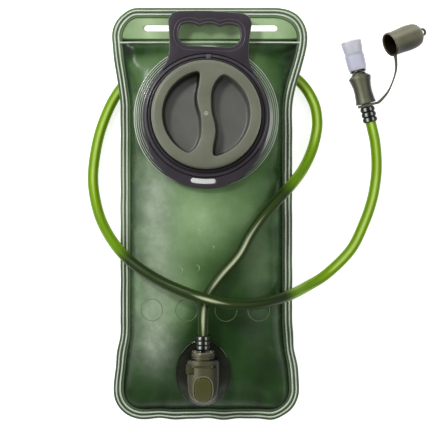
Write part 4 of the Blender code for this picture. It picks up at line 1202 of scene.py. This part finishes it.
def handle_side():
    side = [(0.0452, 0.0381), (0.0418, 0.0428), (0.0392, 0.0478), (0.0374, 0.0533)]
    side += [(0.0366, 0.0593), (0.0366, 0.0673), (0.0374, 0.0773)]
    corner = arc((0.0285, 0.0868), 0.0100, 0, 90, 10)
    curve = [(p.x, p.y) for p in smooth_curve([(x, y, 0) for x, y in side + corner[:1]], 22)]
    return curve + corner[1:] + [(0.0140, 0.0977), (0.0, 0.0981)]


def collar_outline():
    right = handle_side()
    left = [(-x, y) for x, y in reversed(right[:-1])]
    start = math.atan2(left[-1][1], left[-1][0])
    end = math.atan2(right[0][1], right[0][0]) + 2 * math.pi
    ring = []
    for i in range(1, 120):
        angle = start + (end - start) * i / 120
        from_lip = abs(angle + COLLAR_TURN - SLOT_ANGLE - 2 * math.pi)
        reach = 1 - float(ease((from_lip - LIP_FULL) / LIP_FADE))
        radius = COLLAR_RADIUS + (LIP_RADIUS - COLLAR_RADIUS) * reach
        ring.append((radius * math.cos(angle), radius * math.sin(angle)))
    return turned_loop(right + left + ring, COLLAR_TURN)


def finger_opening():
    low, cusp, half, corner = 0.0647, 0.0833, 0.0093, 0.0105
    sagitta = 0.0030
    radius = (half**2 + sagitta**2) / (2 * sagitta)
    sweep_angle = math.degrees(math.asin(half / radius))
    bottom = arc((-0.0181, low + corner), corner, 180, 270, 10)
    bottom += arc((0.0181, low + corner), corner, 270, 360, 10)
    end = [(0.0283, 0.0795), (0.0272, 0.0824)]
    top = []
    for middle in (2 * half, 0.0, -2 * half):
        centre = (middle, cusp + sagitta - radius)
        top += arc(centre, radius, 90 - sweep_angle, 90 + sweep_angle, 12)[1:-1]
        if middle > -half:
            top.append((middle - half, cusp))
    other_end = [(-x, y) for x, y in reversed(end)]
    return turned_loop(bottom + end + top + other_end, COLLAR_TURN)


def lip_slot(clearance=0.0):
    inner = SLOT_RADIUS - SLOT_HALF_WIDTH + clearance
    outer = SLOT_RADIUS + SLOT_HALF_WIDTH - clearance
    middle = math.degrees(SLOT_ANGLE)
    half = math.degrees(SLOT_HALF_ANGLE)
    low = arc((0, 0), outer, middle - half, middle + half, 12)
    high = arc((0, 0), inner, middle + half, middle - half, 12)
    ends = []
    for side, start in ((half, middle), (-half, middle + 180)):
        angle = math.radians(middle + side)
        centre = (SLOT_RADIUS * math.cos(angle), SLOT_RADIUS * math.sin(angle))
        ends.append(arc(centre, SLOT_HALF_WIDTH - clearance, start + side, start + side + 180, 8)[1:-1])
    return low + ends[0] + high + ends[1]


# Grooves that part the round ring from the handle and from the lip: their radii, and their angles.
GROOVE_INNER = 0.0572
GROOVE_OUTER = 0.0580
COLLAR_GROOVES = ((43.0, 133.0), (-155.0, -32.0))


def add_collar(looks):
    loops = [collar_outline(), circle(COLLAR_BORE, 144), finger_opening(), lip_slot()]
    plate = plate_data(loops, COLLAR_LOW, HANDLE_HIGH)
    collar = place_mesh("grip_collar_body", *plate, looks["collar"], "bag", "dark_collar", PORT)
    bevel(collar, 0.0011, 4)
    for number, (start, end) in enumerate(COLLAR_GROOVES):
        band = arc((0, 0), GROOVE_OUTER, start, end, 60) + arc((0, 0), GROOVE_INNER, end, start, 60)
        tool = plate_data([band], HANDLE_HIGH - 0.0022, HANDLE_HIGH + 0.0020)
        cut(collar, f"groove_tool_{number}", *tool, PORT)
    sharpen(collar.data)
    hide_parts("grip_collar")
    paint_collar(collar)
    # Raised beads round the finger opening, in a lighter purple than the collar: the beads are real, and
    # their lighter colour is a painted highlight.
    opening = round_corners(finger_opening(), 3, 0.0012)
    for number, (outset, size) in enumerate(((0.0010, 0.0008), (0.0044, 0.0006))):
        bead = [(x, y, HANDLE_HIGH - 0.0003) for x, y in offset_loop(opening, -outset)]
        sweep(f"opening_bead_{number}", bead, size, looks["bead"], "bag", "dark_collar", 10, True, PORT)
    rim = [
        (NECK_RADIUS + 0.0016, COLLAR_LOW),
        (COLLAR_RADIUS - 0.0012, COLLAR_LOW),
        (COLLAR_RADIUS - 0.0012, HANDLE_HIGH - 0.0004),
        (COLLAR_RADIUS - 0.0018, HANDLE_HIGH + 0.0007),
        (COLLAR_RADIUS - 0.0028, COLLAR_HIGH - 0.0002),
        (COLLAR_RADIUS - 0.0038, COLLAR_HIGH),
        (COLLAR_RADIUS - 0.0042, COLLAR_HIGH - 0.0001),
        (COLLAR_RADIUS - 0.0045, COLLAR_HIGH - 0.0008),
        (COLLAR_RADIUS - 0.0051, COLLAR_HIGH - 0.0008),
        (COLLAR_RADIUS - 0.0054, COLLAR_HIGH - 0.0001),
        (COLLAR_RADIUS - 0.0058, COLLAR_HIGH),
        (COLLAR_BORE + 0.0008, COLLAR_HIGH),
        (COLLAR_BORE + 0.0002, COLLAR_HIGH - 0.0003),
        (COLLAR_BORE, COLLAR_HIGH - 0.0009),
        (COLLAR_BORE, COLLAR_LOW + 0.0016),
        (NECK_RADIUS + 0.0016, COLLAR_LOW + 0.0016),
    ]
    paint_collar(lathe("collar_ring", rim, looks["collar"], "bag", "dark_collar", PORT, 144))
    block = box_data((-0.0021, 0.0522, COLLAR_HIGH - 0.0008), (0.0021, 0.0566, COLLAR_HIGH + 0.0010))
    turn = PORT @ Matrix.Rotation(COLLAR_TURN, 4, "Z")
    bevel(place_mesh("collar_stop", *block, looks["stop"], "bag", "dark_collar", turn), 0.0006)


def paint_collar(obj):
    """Marks the painted shade on what lies low on the collar, and the painted highlight on the bright edges
    at its rim.
    """
    x, y, z = spots_in(obj, PORT)
    reach = np.hypot(x, y)
    # Painted shade low down, in the groove and on the inner wall; painted highlight on the handle's top
    # edges.
    deep = ease((HANDLE_HIGH - 0.0009 - z) / 0.0008)
    in_groove = np.abs(reach - (COLLAR_RADIUS - 0.0048)) < 0.0004
    deep = np.maximum(deep, in_groove | (reach < COLLAR_BORE + 0.0001))
    edge = HANDLE_HIGH - z
    edge_highlight = 0.5 * ((edge > 0.0001) & (edge < 0.0006)) * (y > 0.03)
    paint_tone(obj, deep, edge_highlight)


def pocket_outline():
    """Plan of the left pocket in the cap: the bar's edge on its right and the rim's circle round the rest."""
    edge = [(-0.0055, 0.0388), (-0.0064, 0.0286), (-0.0084, 0.0172), (-0.0075, 0.0080), (-0.0050, -0.0011)]
    edge += [(-0.0043, -0.0126), (-0.0050, -0.0217), (-0.0091, -0.0309), (-0.0152, -0.0368)]
    edge = [(p.x, p.y) for p in smooth_curve([(x, y, 0) for x, y in edge], 60)]
    top = math.degrees(math.atan2(edge[0][1], edge[0][0]))
    foot = math.degrees(math.atan2(edge[-1][1], edge[-1][0])) + 360
    ring = arc((0, 0), POCKET_RADIUS, top + 2.0, foot - 2.0, 120)
    return ring + edge[::-1][1:-1]


def add_pocket(loop, verts, faces):
    """Adds a pocket's rounded lip, wall, rounded foot and floor. Gives the loop where the top starts."""
    depth = CAP_TOP - POCKET_FLOOR
    steps = [(0.0012, 0.0), (0.0006, 0.0001), (0.0002, 0.0004), (0.0, 0.0010), (-0.0006, depth * 0.5)]
    steps += [(-0.0012, depth - 0.0022), (-0.0018, depth - 0.0009), (-0.0028, depth - 0.0002)]
    steps += [(-0.0038, depth)]
    size = len(loop)
    start = len(verts)
    for outset, drop in steps:
        verts += [(x, y, CAP_TOP - drop) for x, y in offset_loop(loop, -outset)]
    faces += ring_faces(len(steps) - 1, size, start)
    made, triangles = fill([[(x, y) for x, y, _ in verts[-size:]]])
    faces += moved_faces(triangles, len(verts))
    verts += [(x, y, POCKET_FLOOR) for x, y in made]
    return [(x, y) for x, y, _ in verts[start : start + size]]


def add_cap(looks):
    left = round_corners(pocket_outline(), 9, 0.0008)
    doubled_area = np.sum(left[:, 0] * np.roll(left[:, 1], -1) - np.roll(left[:, 0], -1) * left[:, 1])
    if doubled_area < 0:
        left = left[::-1]
    verts = []
    faces = []
    holes = [add_pocket(loop, verts, faces) for loop in (left, -left)]
    made, triangles = fill([circle(0.0462, 180), *holes])
    faces += moved_faces(triangles, len(verts))
    verts += [(x, y, CAP_TOP) for x, y in made]
    roof = CAP_TOP - 0.0020
    outer = [
        (0.0462, CAP_TOP),
        (0.0476, CAP_TOP - 0.0001),
        (0.0488, CAP_TOP - 0.0005),
        (0.0497, CAP_TOP - 0.0013),
        (CAP_RADIUS, CAP_TOP - 0.0025),
        (CAP_RADIUS, 0.0050),
        (CAP_RADIUS - 0.0003, 0.0044),
        (SKIRT_BORE + 0.0002, 0.0044),
        (SKIRT_BORE, 0.0048),
        (SKIRT_BORE, roof),
        (0.0423, roof),
        (0.0423, POCKET_FLOOR - 0.0016),
        (0.0, POCKET_FLOOR - 0.0016),
    ]
    more, sides = lathe_data(outer, 180, closed=False)
    faces += moved_faces(sides, len(verts))
    verts += more
    cap = place_mesh("screw_cap_shell", verts, faces, looks["cap"], "cap", "grey_green_cap", PORT, 42)
    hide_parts("screw_cap")
    paint_cap(cap)
    # The pip in the middle: each radius, and how far it stands above the cap's top.
    rises = [(0.0, 0.0002), (0.0006, 0.00015), (0.0009, -0.0002), (0.0012, 0.0002)]
    rises += [(0.0016, 0.0003), (0.0019, 0.0001), (0.0020, -0.0006), (0.0, -0.0006)]
    pip = [(radius, CAP_TOP + rise) for radius, rise in rises]
    lathe("cap_pip", pip, looks["pip"], "cap", "grey_green_cap", PORT, 24)


def paint_cap(cap):
    """Marks how deep each point lies in the pockets, and the painted shade on their walls."""
    x, y, z = spots_in(cap, PORT)
    depth = np.clip((CAP_TOP - z) / (CAP_TOP - POCKET_FLOOR), 0, 1) * (np.hypot(x, y) < 0.0415)
    shaded = 0.35 + 0.65 * ease((0.005 - x * 0.8 + y * 0.4) / 0.020)
    shaded = np.maximum(shaded, 0.85 * ease((0.020 - x) / 0.006) * (x > 0))
    paint_tone(cap, depth, shaded * ease(depth / 0.15) * (depth < 0.9999))


# ---- Outlet ----

# The flange's rings from near its middle to its rim: a share of its size, and the height over the film.
OVAL_RINGS = (
    (0.30, 0.0016), (0.5, 0.0016), (0.7, 0.0016), (0.85, 0.0015), (0.92, 0.0014), (0.955, 0.0017),
    (0.975, 0.0019), (0.99, 0.0016), (1.0, 0.0004),
)
OVAL_STEPS = 96


def outlet_oval(share, lift):
    """An oval this share of the flange's size, lifted off the film."""
    middle = (OUTLET_PLACE[0], OUTLET_OVAL_Y)
    oval = oval_loop(OUTLET_OVAL[0] * share, OUTLET_OVAL[1] * share, OVAL_STEPS, 2.0, middle)
    return [(x, y, front_z(x, y) + lift) for x, y in oval]


def add_outlet_flange(looks):
    """The near-black oval flange, its rim rounded and raised."""
    verts, faces = loft_data([outlet_oval(*ring) for ring in OVAL_RINGS], caps=False)
    faces.append(tuple(range(OVAL_STEPS)))
    obj = place_mesh("outlet_flange_rim", verts, faces, looks["smoked"], "bag", "smoked_flange", None, 60)
    thicken(obj, 0.0008, face=-1)
    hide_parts("outlet_flange")
    line = outlet_oval(0.975, 0.0017)
    sweep("outlet_flange_edge", line, 0.0005, looks["black_ring"], "bag", "smoked_flange", 8, closed=True)


# The housing from its foot to its mouth: Y, half its width, its height as a share, and how square it is.
SOCKET_STATIONS = (
    (-0.0289, 0.0032, 0.45, 2.2), (-0.0285, 0.0064, 0.62, 2.3), (-0.0276, 0.0088, 0.75, 2.4),
    (-0.0262, 0.0106, 0.84, 2.5), (-0.0240, 0.0126, 0.92, 2.6), (-0.0210, 0.0138, 0.97, 2.6),
    (-0.0170, 0.0147, 0.99, 2.6), (-0.0120, 0.0150, 1.0, 2.6), (-0.0060, 0.0151, 1.0, 2.6),
    (0.0000, 0.0151, 1.0, 2.6), (0.0060, 0.0150, 1.0, 2.6), (0.0086, 0.0147, 1.0, 2.6),
    (0.0102, 0.0141, 0.99, 2.5), (0.0112, 0.0130, 0.97, 2.4), (0.0115, 0.0113, 0.94, 2.2),
    (0.0120, 0.0104, 0.93, 2.1), (0.0126, 0.0110, 0.98, 2.0), (0.0136, 0.0110, 0.98, 2.0),
    (0.0140, 0.0104, 0.94, 2.0), (0.0146, 0.0104, 0.94, 2.0), (0.0150, 0.0110, 0.98, 2.0),
    (0.0164, 0.0109, 0.98, 2.0), (0.0172, 0.0106, 0.97, 2.0),
    (SOCKET_MOUTH, 0.0100, 0.93, 2.0),
)
SOCKET_POWER = 2.6


def socket_size(y):
    """Half the housing's width and half its height at this Y."""
    along, wide, tall, _ = zip(*SOCKET_STATIONS)
    return np.interp(y, along, wide), SOCKET_HALF * np.interp(y, along, tall)


def add_socket(looks):
    rings = []
    for y, half, tall, power in SOCKET_STATIONS:
        ring = oval_loop(half, SOCKET_HALF * tall, 72, power)
        rings.append([(x, y, SOCKET_MIDDLE + z) for x, z in ring])
    body = place_mesh("valve_housing", *loft_data(rings), looks["olive"], "bag", "olive_housing", OUTLET)
    bore = [(0, -0.0106), (CHAMBER_BORE, -0.0106), (CHAMBER_BORE, -0.0002), (SOCKET_BORE, -0.0002)]
    bore += [(SOCKET_BORE, 0.021), (0, 0.021)]
    cut(body, "bore_tool", *lathe_data(bore, 48), PLUG @ ALONG_Y)
    well = circle(0.0036, 24, (0, BUTTON_SPRING_Y))
    cut(body, "well_tool", *plate_data([well], 0.0062, 0.0175), OUTLET)
    wide, long = BUTTON_HALF
    pocket = oval_loop(wide + GAP, long + GAP, 64, 2.5, (0, BUTTON_Y))
    cut(body, "button_tool", *plate_data([pocket], 0.0160, 0.0300), OUTLET)
    slot = box_data((-0.0112, LATCH_Y - 0.0011, 0.0150), (0.0112, LATCH_Y + 0.0011, 0.0300))
    cut(body, "slot_tool", *slot, OUTLET)
    window = box_data((-0.0200, LATCH_Y - 0.0078, 0.0085), (-0.0084, LATCH_Y + 0.0011, 0.0300))
    cut(body, "window_tool", *window, OUTLET)
    sharpen(body.data, 35)
    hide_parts("valve_socket")
    paint_socket(body)
    # The raised rim round the button, in the lighter olive as a painted highlight.
    rim = []
    for x, y in oval_loop(wide + 0.0010, long + 0.0010, 72, 2.4, (0, BUTTON_Y)):
        half, tall = socket_size(y)
        fall = max(1 - (abs(x) / half) ** SOCKET_POWER, 0.02) ** (1 / SOCKET_POWER)
        rim.append((x, y, SOCKET_MIDDLE + tall * fall))
    sweep("button_surround", rim, 0.0006, looks["olive_light"], "bag", "olive_housing", 10, True, OUTLET)
    # The lip round the mouth: how far each point stands out from the bore, and its place along the plug.
    lip = [(0.0, 0.0174), (0.0026, 0.0174), (0.0032, 0.0178)]
    lip += [(0.0028, 0.0184), (0.0010, 0.0186), (0.0, 0.0182)]
    lip = [(SOCKET_BORE + out, along) for out, along in lip]
    lathe("socket_lip", lip, looks["olive_light"], "bag", "olive_housing", PLUG, 64, along_y=True)


def paint_socket(body):
    """Marks the painted shade on the housing's sides, in its slots and at its steps, and the painted
    highlight line left of its middle.
    """
    x, y, z = spots_in(body, OUTLET)
    half, tall = socket_size(y)
    sideways = np.clip(x / half, -1, 1)
    crown = SOCKET_MIDDLE + tall * (1 - np.abs(sideways) ** SOCKET_POWER) ** (1 / SOCKET_POWER)
    shade = 0.95 * ease((np.abs(sideways + 0.12) - 0.42) / 0.55) + 0.9 * bell(y, 0.0116, 0.0006)
    shade = np.where((z < crown - 0.0012) & (np.abs(sideways) < 0.9), 1.0, np.clip(shade, 0, 1))
    bright = 0.4 * bell(sideways, -0.42, 0.2) * (1 - shade)
    paint_tone(body, shade, bright)


def add_button(looks):
    wide, long = BUTTON_HALF
    crown = [(1.0, 0.0199), (1.0, 0.0211), (0.985, 0.0216), (0.95, 0.0219)]
    crown += [(0.86, 0.0222), (0.7, 0.0224), (0.4, 0.0226), (0.1, 0.0226)]
    rings = [[(x, y + BUTTON_Y, z) for x, y in oval_loop(wide * s, long * s, 56, 2.5)] for s, z in crown]
    pad = loft_data(rings)
    button = place_mesh("release_button_pad", *pad, looks["button"], "button", "olive_housing", OUTLET, 50)
    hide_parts("release_button")


def sleeve(name, start, end, teeth, low, high, look, body, turn):
    """Hose stretched over a barb, bulging at each tooth."""
    count = 18 * teeth
    profile = []
    for i in range(count + 1):
        share = i / count
        bulge = abs(math.sin(math.pi * share * teeth)) ** 0.7
        profile.append((low + (high - low) * bulge, start + (end - start) * share))
    profile += [(low - 0.0014, end), (low - 0.0014, start)]
    piece = lathe(name, profile, look, body, "black_stem", turn, 48, along_y=True, smooth=75)
    # Painted glints on the crests of the ridges, along two lines on the upper side.
    x, _, z = spots_in(piece, turn)
    reach = np.hypot(x, z)
    sideways = x / reach
    crest = ease((reach - low - 0.45 * (high - low)) / (0.4 * (high - low)))
    lit = bell(sideways, -0.42, 0.13) + 0.8 * bell(sideways, 0.38, 0.08)
    paint_tone(piece, np.clip(lit * crest * (z > 0), 0, 1))


def add_plug(looks):
    end = SOCKET_MOUTH + GAP
    flange = [(0.0052, 0.0), (0.0086, 0.0), (0.0090, 0.0005), (0.0090, 0.0013), (0.0086, 0.0019)]
    flange += [(0.0070, 0.0023), (0.0052, 0.0023)]
    flange = [(radius, end + along) for radius, along in flange]
    lathe("plug_flange", flange, looks["black"], "plug", "smoked_flange", PLUG, 64, along_y=True)
    sleeve("outlet_hose_sleeve", end + 0.0024, 0.0334, 3, 0.0058, 0.0070, looks["sleeve"], "plug", PLUG)


# ---- Hose and bite valve ----


def hose_tones(points, centres):
    """Over the bag, the painted highlight stripe, and the painted shade on the sides and underside, for each
    point of the hose.
    """
    share = np.clip((points[:, 2] - centres[:, 2]) / HOSE_RADIUS, -1, 1)
    tone = np.clip(0.38 + 0.62 * bell(share, 1, 0.035) - 0.38 * bell(share, 0.70, 0.18), 0, 1)
    edge = np.clip(1 - share / 0.45, 0, 1)
    x, y, z = centres.T
    over = ease((side_at(y) - np.abs(x) + 0.004) / 0.014) * (z > 0.012)
    return over, tone, edge


def add_hose(looks):
    route = smooth_curve(HOSE_ROUTE, 260)
    tube = loft_data(tube_rings(route, HOSE_RADIUS, 28))
    hose = place_mesh("drinking_hose", *tube, looks["hose"], None, "hose_green")
    made = points_of(hose)
    line = np.array([tuple(p) for p in route])
    nearest = np.array([np.argmin(((line - p) ** 2).sum(axis=1)) for p in made])
    paint_tone(hose, *hose_tones(made, line[nearest]))
    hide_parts("hose")
    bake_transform(hose)
    length = sum((b - a).length for a, b in zip(route, route[1:]))
    return hose, [tuple(p) for p in route], length


def add_bite_valve(looks):
    sleeve("valve_hose_sleeve", -0.0176, -0.0030, 3, 0.0056, 0.0069, looks["sleeve"], "bag", VALVE)
    body = [
        (0.0051, 0.0003), (0.0087, 0.0003), (0.0094, 0.0007), (0.0095, 0.0015), (0.0091, 0.0028),
        (0.0087, 0.0060), (0.0083, 0.0110), (0.0085, 0.0160), (0.0092, 0.0200), (0.0101, 0.0232),
        (0.0105, 0.0245), (0.0104, 0.0253), (0.0098, 0.0260), (0.0080, 0.0274), (0.0067, 0.0284),
        (0.0063, 0.0292), (0.0062, 0.0297), (0.0051, 0.0297),
    ]
    look = looks["valve_olive"]
    piece = lathe("bite_valve_shell", body, look, "bite_valve", "olive_housing", VALVE, 72, along_y=True)
    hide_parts("bite_valve_body")
    paint_round(piece, VALVE)
    ring = [
        (0.0043, 0.0300), (0.0074, 0.0300), (0.0080, 0.0304), (0.0081, 0.0312), (0.0078, 0.0319),
        (0.0070, 0.0323), (0.0058, 0.0324), (0.0055, 0.0450), (0.0043, 0.0450),
    ]
    look = looks["black_ring"]
    piece = lathe("mouthpiece_collar", ring, look, "bite_tip", "black_stem", VALVE, 56, along_y=True)
    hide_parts("mouthpiece_ring")
    bite = [
        (0.0060, 0.0325), (0.0080, 0.0325), (0.0085, 0.0332), (0.0088, 0.0360), (0.0091, 0.0420),
        (0.0092, 0.0455), (0.0087, 0.0480), (0.0088, 0.0500), (0.0094, 0.0545), (0.0097, 0.0580),
        (0.0096, 0.0598), (0.0075, 0.0610), (0.0030, 0.0616), (0.0, 0.0617), (0.0, 0.0584),
        (0.0078, 0.0568), (0.0076, 0.0480), (0.0060, 0.0455),
    ]
    look = looks["silicone"]
    piece = lathe("mouthpiece_bulb", bite, look, "bite_tip", "milky_silicone", VALVE, 72, along_y=True)
    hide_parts("mouthpiece")
    paint_mouthpiece(piece)


def paint_round(obj, turn):
    """Marks the painted shade on the sides of a round piece and the painted highlight line that runs along
    its crown.
    """
    x, _, z = spots_in(obj, turn)
    sideways = x / np.maximum(np.hypot(x, z), 1e-6)
    shade = ease((np.abs(sideways + 0.15) - 0.30) / 0.6)
    bright = 0.45 * bell(sideways, -0.34, 0.15) * (z > 0)
    paint_tone(obj, shade, bright)


def paint_mouthpiece(obj):
    """Marks where the sleeve inside shows through, the painted shade on its sides, and the line round its
    waist.
    """
    x, y, z = spots_in(obj, VALVE)
    sideways = x / np.maximum(np.hypot(x, z), 1e-6)
    dense = 1 - ease((y - 0.0430) / 0.008)
    paint_tone(obj, dense, ease((np.abs(sideways) - 0.55) / 0.45), bell(y, 0.0480, 0.0010))


def add_dust_cap(looks):
    dull = looks["cap_dull"]
    ring = [(0.0064, -0.0026), (0.0079, -0.0026), (0.0084, -0.0021)]
    ring += [(0.0084, -0.0009), (0.0079, -0.0004), (0.0064, -0.0004)]
    piece = lathe("tether_band", ring, dull, "tether", "grey_green_cap", VALVE, 56, along_y=True)
    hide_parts("tether_ring")
    tab = box_data((0.0076, -0.0026, -0.0017), (0.0124, -0.0004, 0.0017))
    bevel(place_mesh("tether_tab", *tab, dull, "tether", "grey_green_cap", VALVE), 0.0007)
    root = ((0.0140, 0.0002, -0.0004), (0.0122, 0.0008, 0.0), (0.0104, 0.0013, 0.0))
    root = [DUST @ Vector(spot) for spot in root]
    sweep("tether_root", root, [0.0013, 0.0016, 0.0018], dull, "dust_cover", "grey_green_cap", 16)
    route = smooth_curve(STRAP_ROUTE, 60)
    radii = [STRAP_RADIUS * (1 + 0.25 * math.cos(2 * math.pi * i / 59)) for i in range(60)]
    strap = sweep("cap_tether", route, radii, dull, None, "grey_green_cap", 12)
    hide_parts("tether_strap")
    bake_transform(strap)
    outside = [
        (0.0101, 0.0001), (0.0106, -0.0002), (0.0112, 0.0), (0.0115, 0.0006), (0.0115, 0.0020),
        (0.0112, 0.0026), (0.0110, 0.0032), (0.0113, 0.0110), (0.0118, 0.0190), (0.0117, 0.0240),
        (0.0112, 0.0285), (0.0101, 0.0318), (0.0080, 0.0340), (0.0050, 0.0351),
        (0.0, DUST_CAP_LENGTH),
    ]
    within = [
        (0.0, DUST_CAP_LENGTH - 0.0016),
        (0.0060, 0.0330), (0.0090, 0.0303), (0.0102, 0.0255), (0.0105, 0.0190), (0.0100, 0.0110),
        (0.0098, 0.0020),
    ]
    look = looks["dust"]
    profile = outside + within
    cap = lathe("dust_cap_shell", profile, look, "dust_cover", "grey_green_cap", DUST, 72, along_y=True)
    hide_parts("dust_cap")
    paint_dust_cap(cap, outside)
    end = DUST_CAP_LENGTH
    eye = [(-0.0036, end - 0.0030), (0.0036, end - 0.0030), *arc((0, end + 0.0034), 0.0038, 0, 180, 24)]
    eye = plate_data([eye, circle(0.0018, 24, (0, end + 0.0036))], -0.0012, 0.0012)
    bevel(place_mesh("dust_cap_eye", *eye, dull, "dust_cover", "grey_green_cap", DUST), 0.0005)
    return strap, [tuple(p) for p in route]


def paint_dust_cap(cap, outside):
    """Marks the cap's inside and its right side for painted shade, and the painted highlight line left of its
    middle.
    """
    x, y, z = spots_in(cap, DUST)
    radius = np.hypot(x, z)
    outer = np.interp(y, [p[1] for p in outside[3:]], [p[0] for p in outside[3:]])
    hidden = (radius < outer - 0.0006) & (y > 0.0008)
    sideways = x / np.maximum(radius, 1e-6)
    under = ease((sideways - 0.05) / 0.9) * ~hidden
    bright = 0.5 * bell(sideways, -0.45, 0.2) * (z > 0) * ~hidden
    paint_tone(cap, hidden, under, bright)


# ---- Scene ----


def dress_cad_nodes(looks):
    """Gives the CAD pieces that stay in view their own materials."""
    dressed = {
        "threaded_neck": "neck",
        "cap_gasket": "rubber",
        "button_spring": "steel",
        "latch_plate": "olive",
        "shutoff_poppet": "cap_dull",
        "poppet_spring": "steel",
        "hose_plug": "black_ring",
        "plug_oring": "rubber",
        "valve_stem": "black_ring",
        "stem_oring": "rubber",
    }
    for node, look in dressed.items():
        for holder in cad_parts[node].material_slots:
            holder.material = looks[look]


FLOOR_GLOW = 0.75  # a lit table top, so that the pieces throw hardly any shadow on it


def add_floor():
    look = Look("studio_floor", Roughness=0.7)
    drift = look.noise(2.0, 2.0)
    look.to("Base Color", look.ramp(drift, (0.2, (250, 250, 249)), (0.8, (253, 253, 252))))
    look.shader.inputs["Emission Color"].default_value = (1.0, 1.0, 1.0, 1.0)
    look.shader.inputs["Emission Strength"].default_value = FLOOR_GLOW
    bpy.ops.mesh.primitive_plane_add(size=6.0, location=(0, 0, -0.0004))
    floor = bpy.context.object
    floor.name = "studio_floor"
    floor.data.materials.append(look.material)


# Soft lamps aimed at the middle of the bag: name, place, width and height, and power in watts.
LAMPS = (
    ("left_softbox", (-1.3, 0.3, 1.1), (0.7, 1.6), 5),
    ("right_softbox", (1.3, 0.1, 1.2), (0.6, 1.4), 4),
    ("top_softbox", (-0.2, 1.4, 1.2), (1.6, 0.6), 4),
    ("foot_softbox", (0.1, -1.4, 1.2), (1.6, 0.5), 2),
    ("key_lamp", (-0.8, 0.85, 1.15), (0.25, 0.25), 9),
)
# The studio's grey, darker overhead: how far up, and how light.
WORLD_GREYS = ((0.45, 0.62), (0.93, 0.13))


def add_lamp(name, place, size, power):
    data = bpy.data.lights.new(name, "AREA")
    data.shape = "RECTANGLE"
    data.size, data.size_y = size
    data.energy = power
    lamp = bpy.data.objects.new(name, data)
    bpy.context.scene.collection.objects.link(lamp)
    lamp.location = place
    lamp.rotation_euler = (-Vector(place)).to_track_quat("-Z", "Y").to_euler()


def add_light():
    world = bpy.data.worlds.new("studio")
    bpy.context.scene.world = world
    world.use_nodes = True
    tree = world.node_tree
    spot = tree.nodes.new("ShaderNodeTexCoord")
    split = tree.nodes.new("ShaderNodeSeparateXYZ")
    ramp = tree.nodes.new("ShaderNodeValToRGB")
    tree.links.new(spot.outputs["Generated"], split.inputs[0])
    tree.links.new(split.outputs["Z"], ramp.inputs["Fac"])
    tree.links.new(ramp.outputs["Color"], tree.nodes["Background"].inputs["Color"])
    for element, (position, grey) in zip(ramp.color_ramp.elements, WORLD_GREYS):
        element.position = position
        element.color = (grey, grey, grey, 1.0)
    for lamp in LAMPS:
        add_lamp(*lamp)


CAMERA_PLACE = (0.008, -0.0015)
CAMERA_HEIGHT = 2.0
CAMERA_FIELD = 0.3986  # how wide a strip it sees at the height of the seam
CAMERA_SENSOR = 36.0  # millimetres


def add_camera():
    """Straight above the bag, far enough for the little perspective that the object shows."""
    data = bpy.data.cameras.new("camera")
    data.sensor_width = CAMERA_SENSOR
    data.lens = CAMERA_SENSOR * CAMERA_HEIGHT / CAMERA_FIELD
    camera = bpy.data.objects.new("camera", data)
    bpy.context.scene.collection.objects.link(camera)
    camera.location = (*CAMERA_PLACE, SEAM_HEIGHT + CAMERA_HEIGHT)
    bpy.context.scene.camera = camera


def main():
    bpy.context.scene.view_settings.view_transform = "Standard"
    add_camera()
    looks = make_looks()
    hose, route, length = add_hose(looks)
    add_bag(looks)
    add_film_marks(looks)
    add_weld_flange(looks)
    add_collar(looks)
    add_cap(looks)
    add_outlet_flange(looks)
    add_socket(looks)
    add_button(looks)
    add_plug(looks)
    add_bite_valve(looks)
    strap, strap_route = add_dust_cap(looks)
    dress_cad_nodes(looks)
    add_floor()
    add_light()


main()
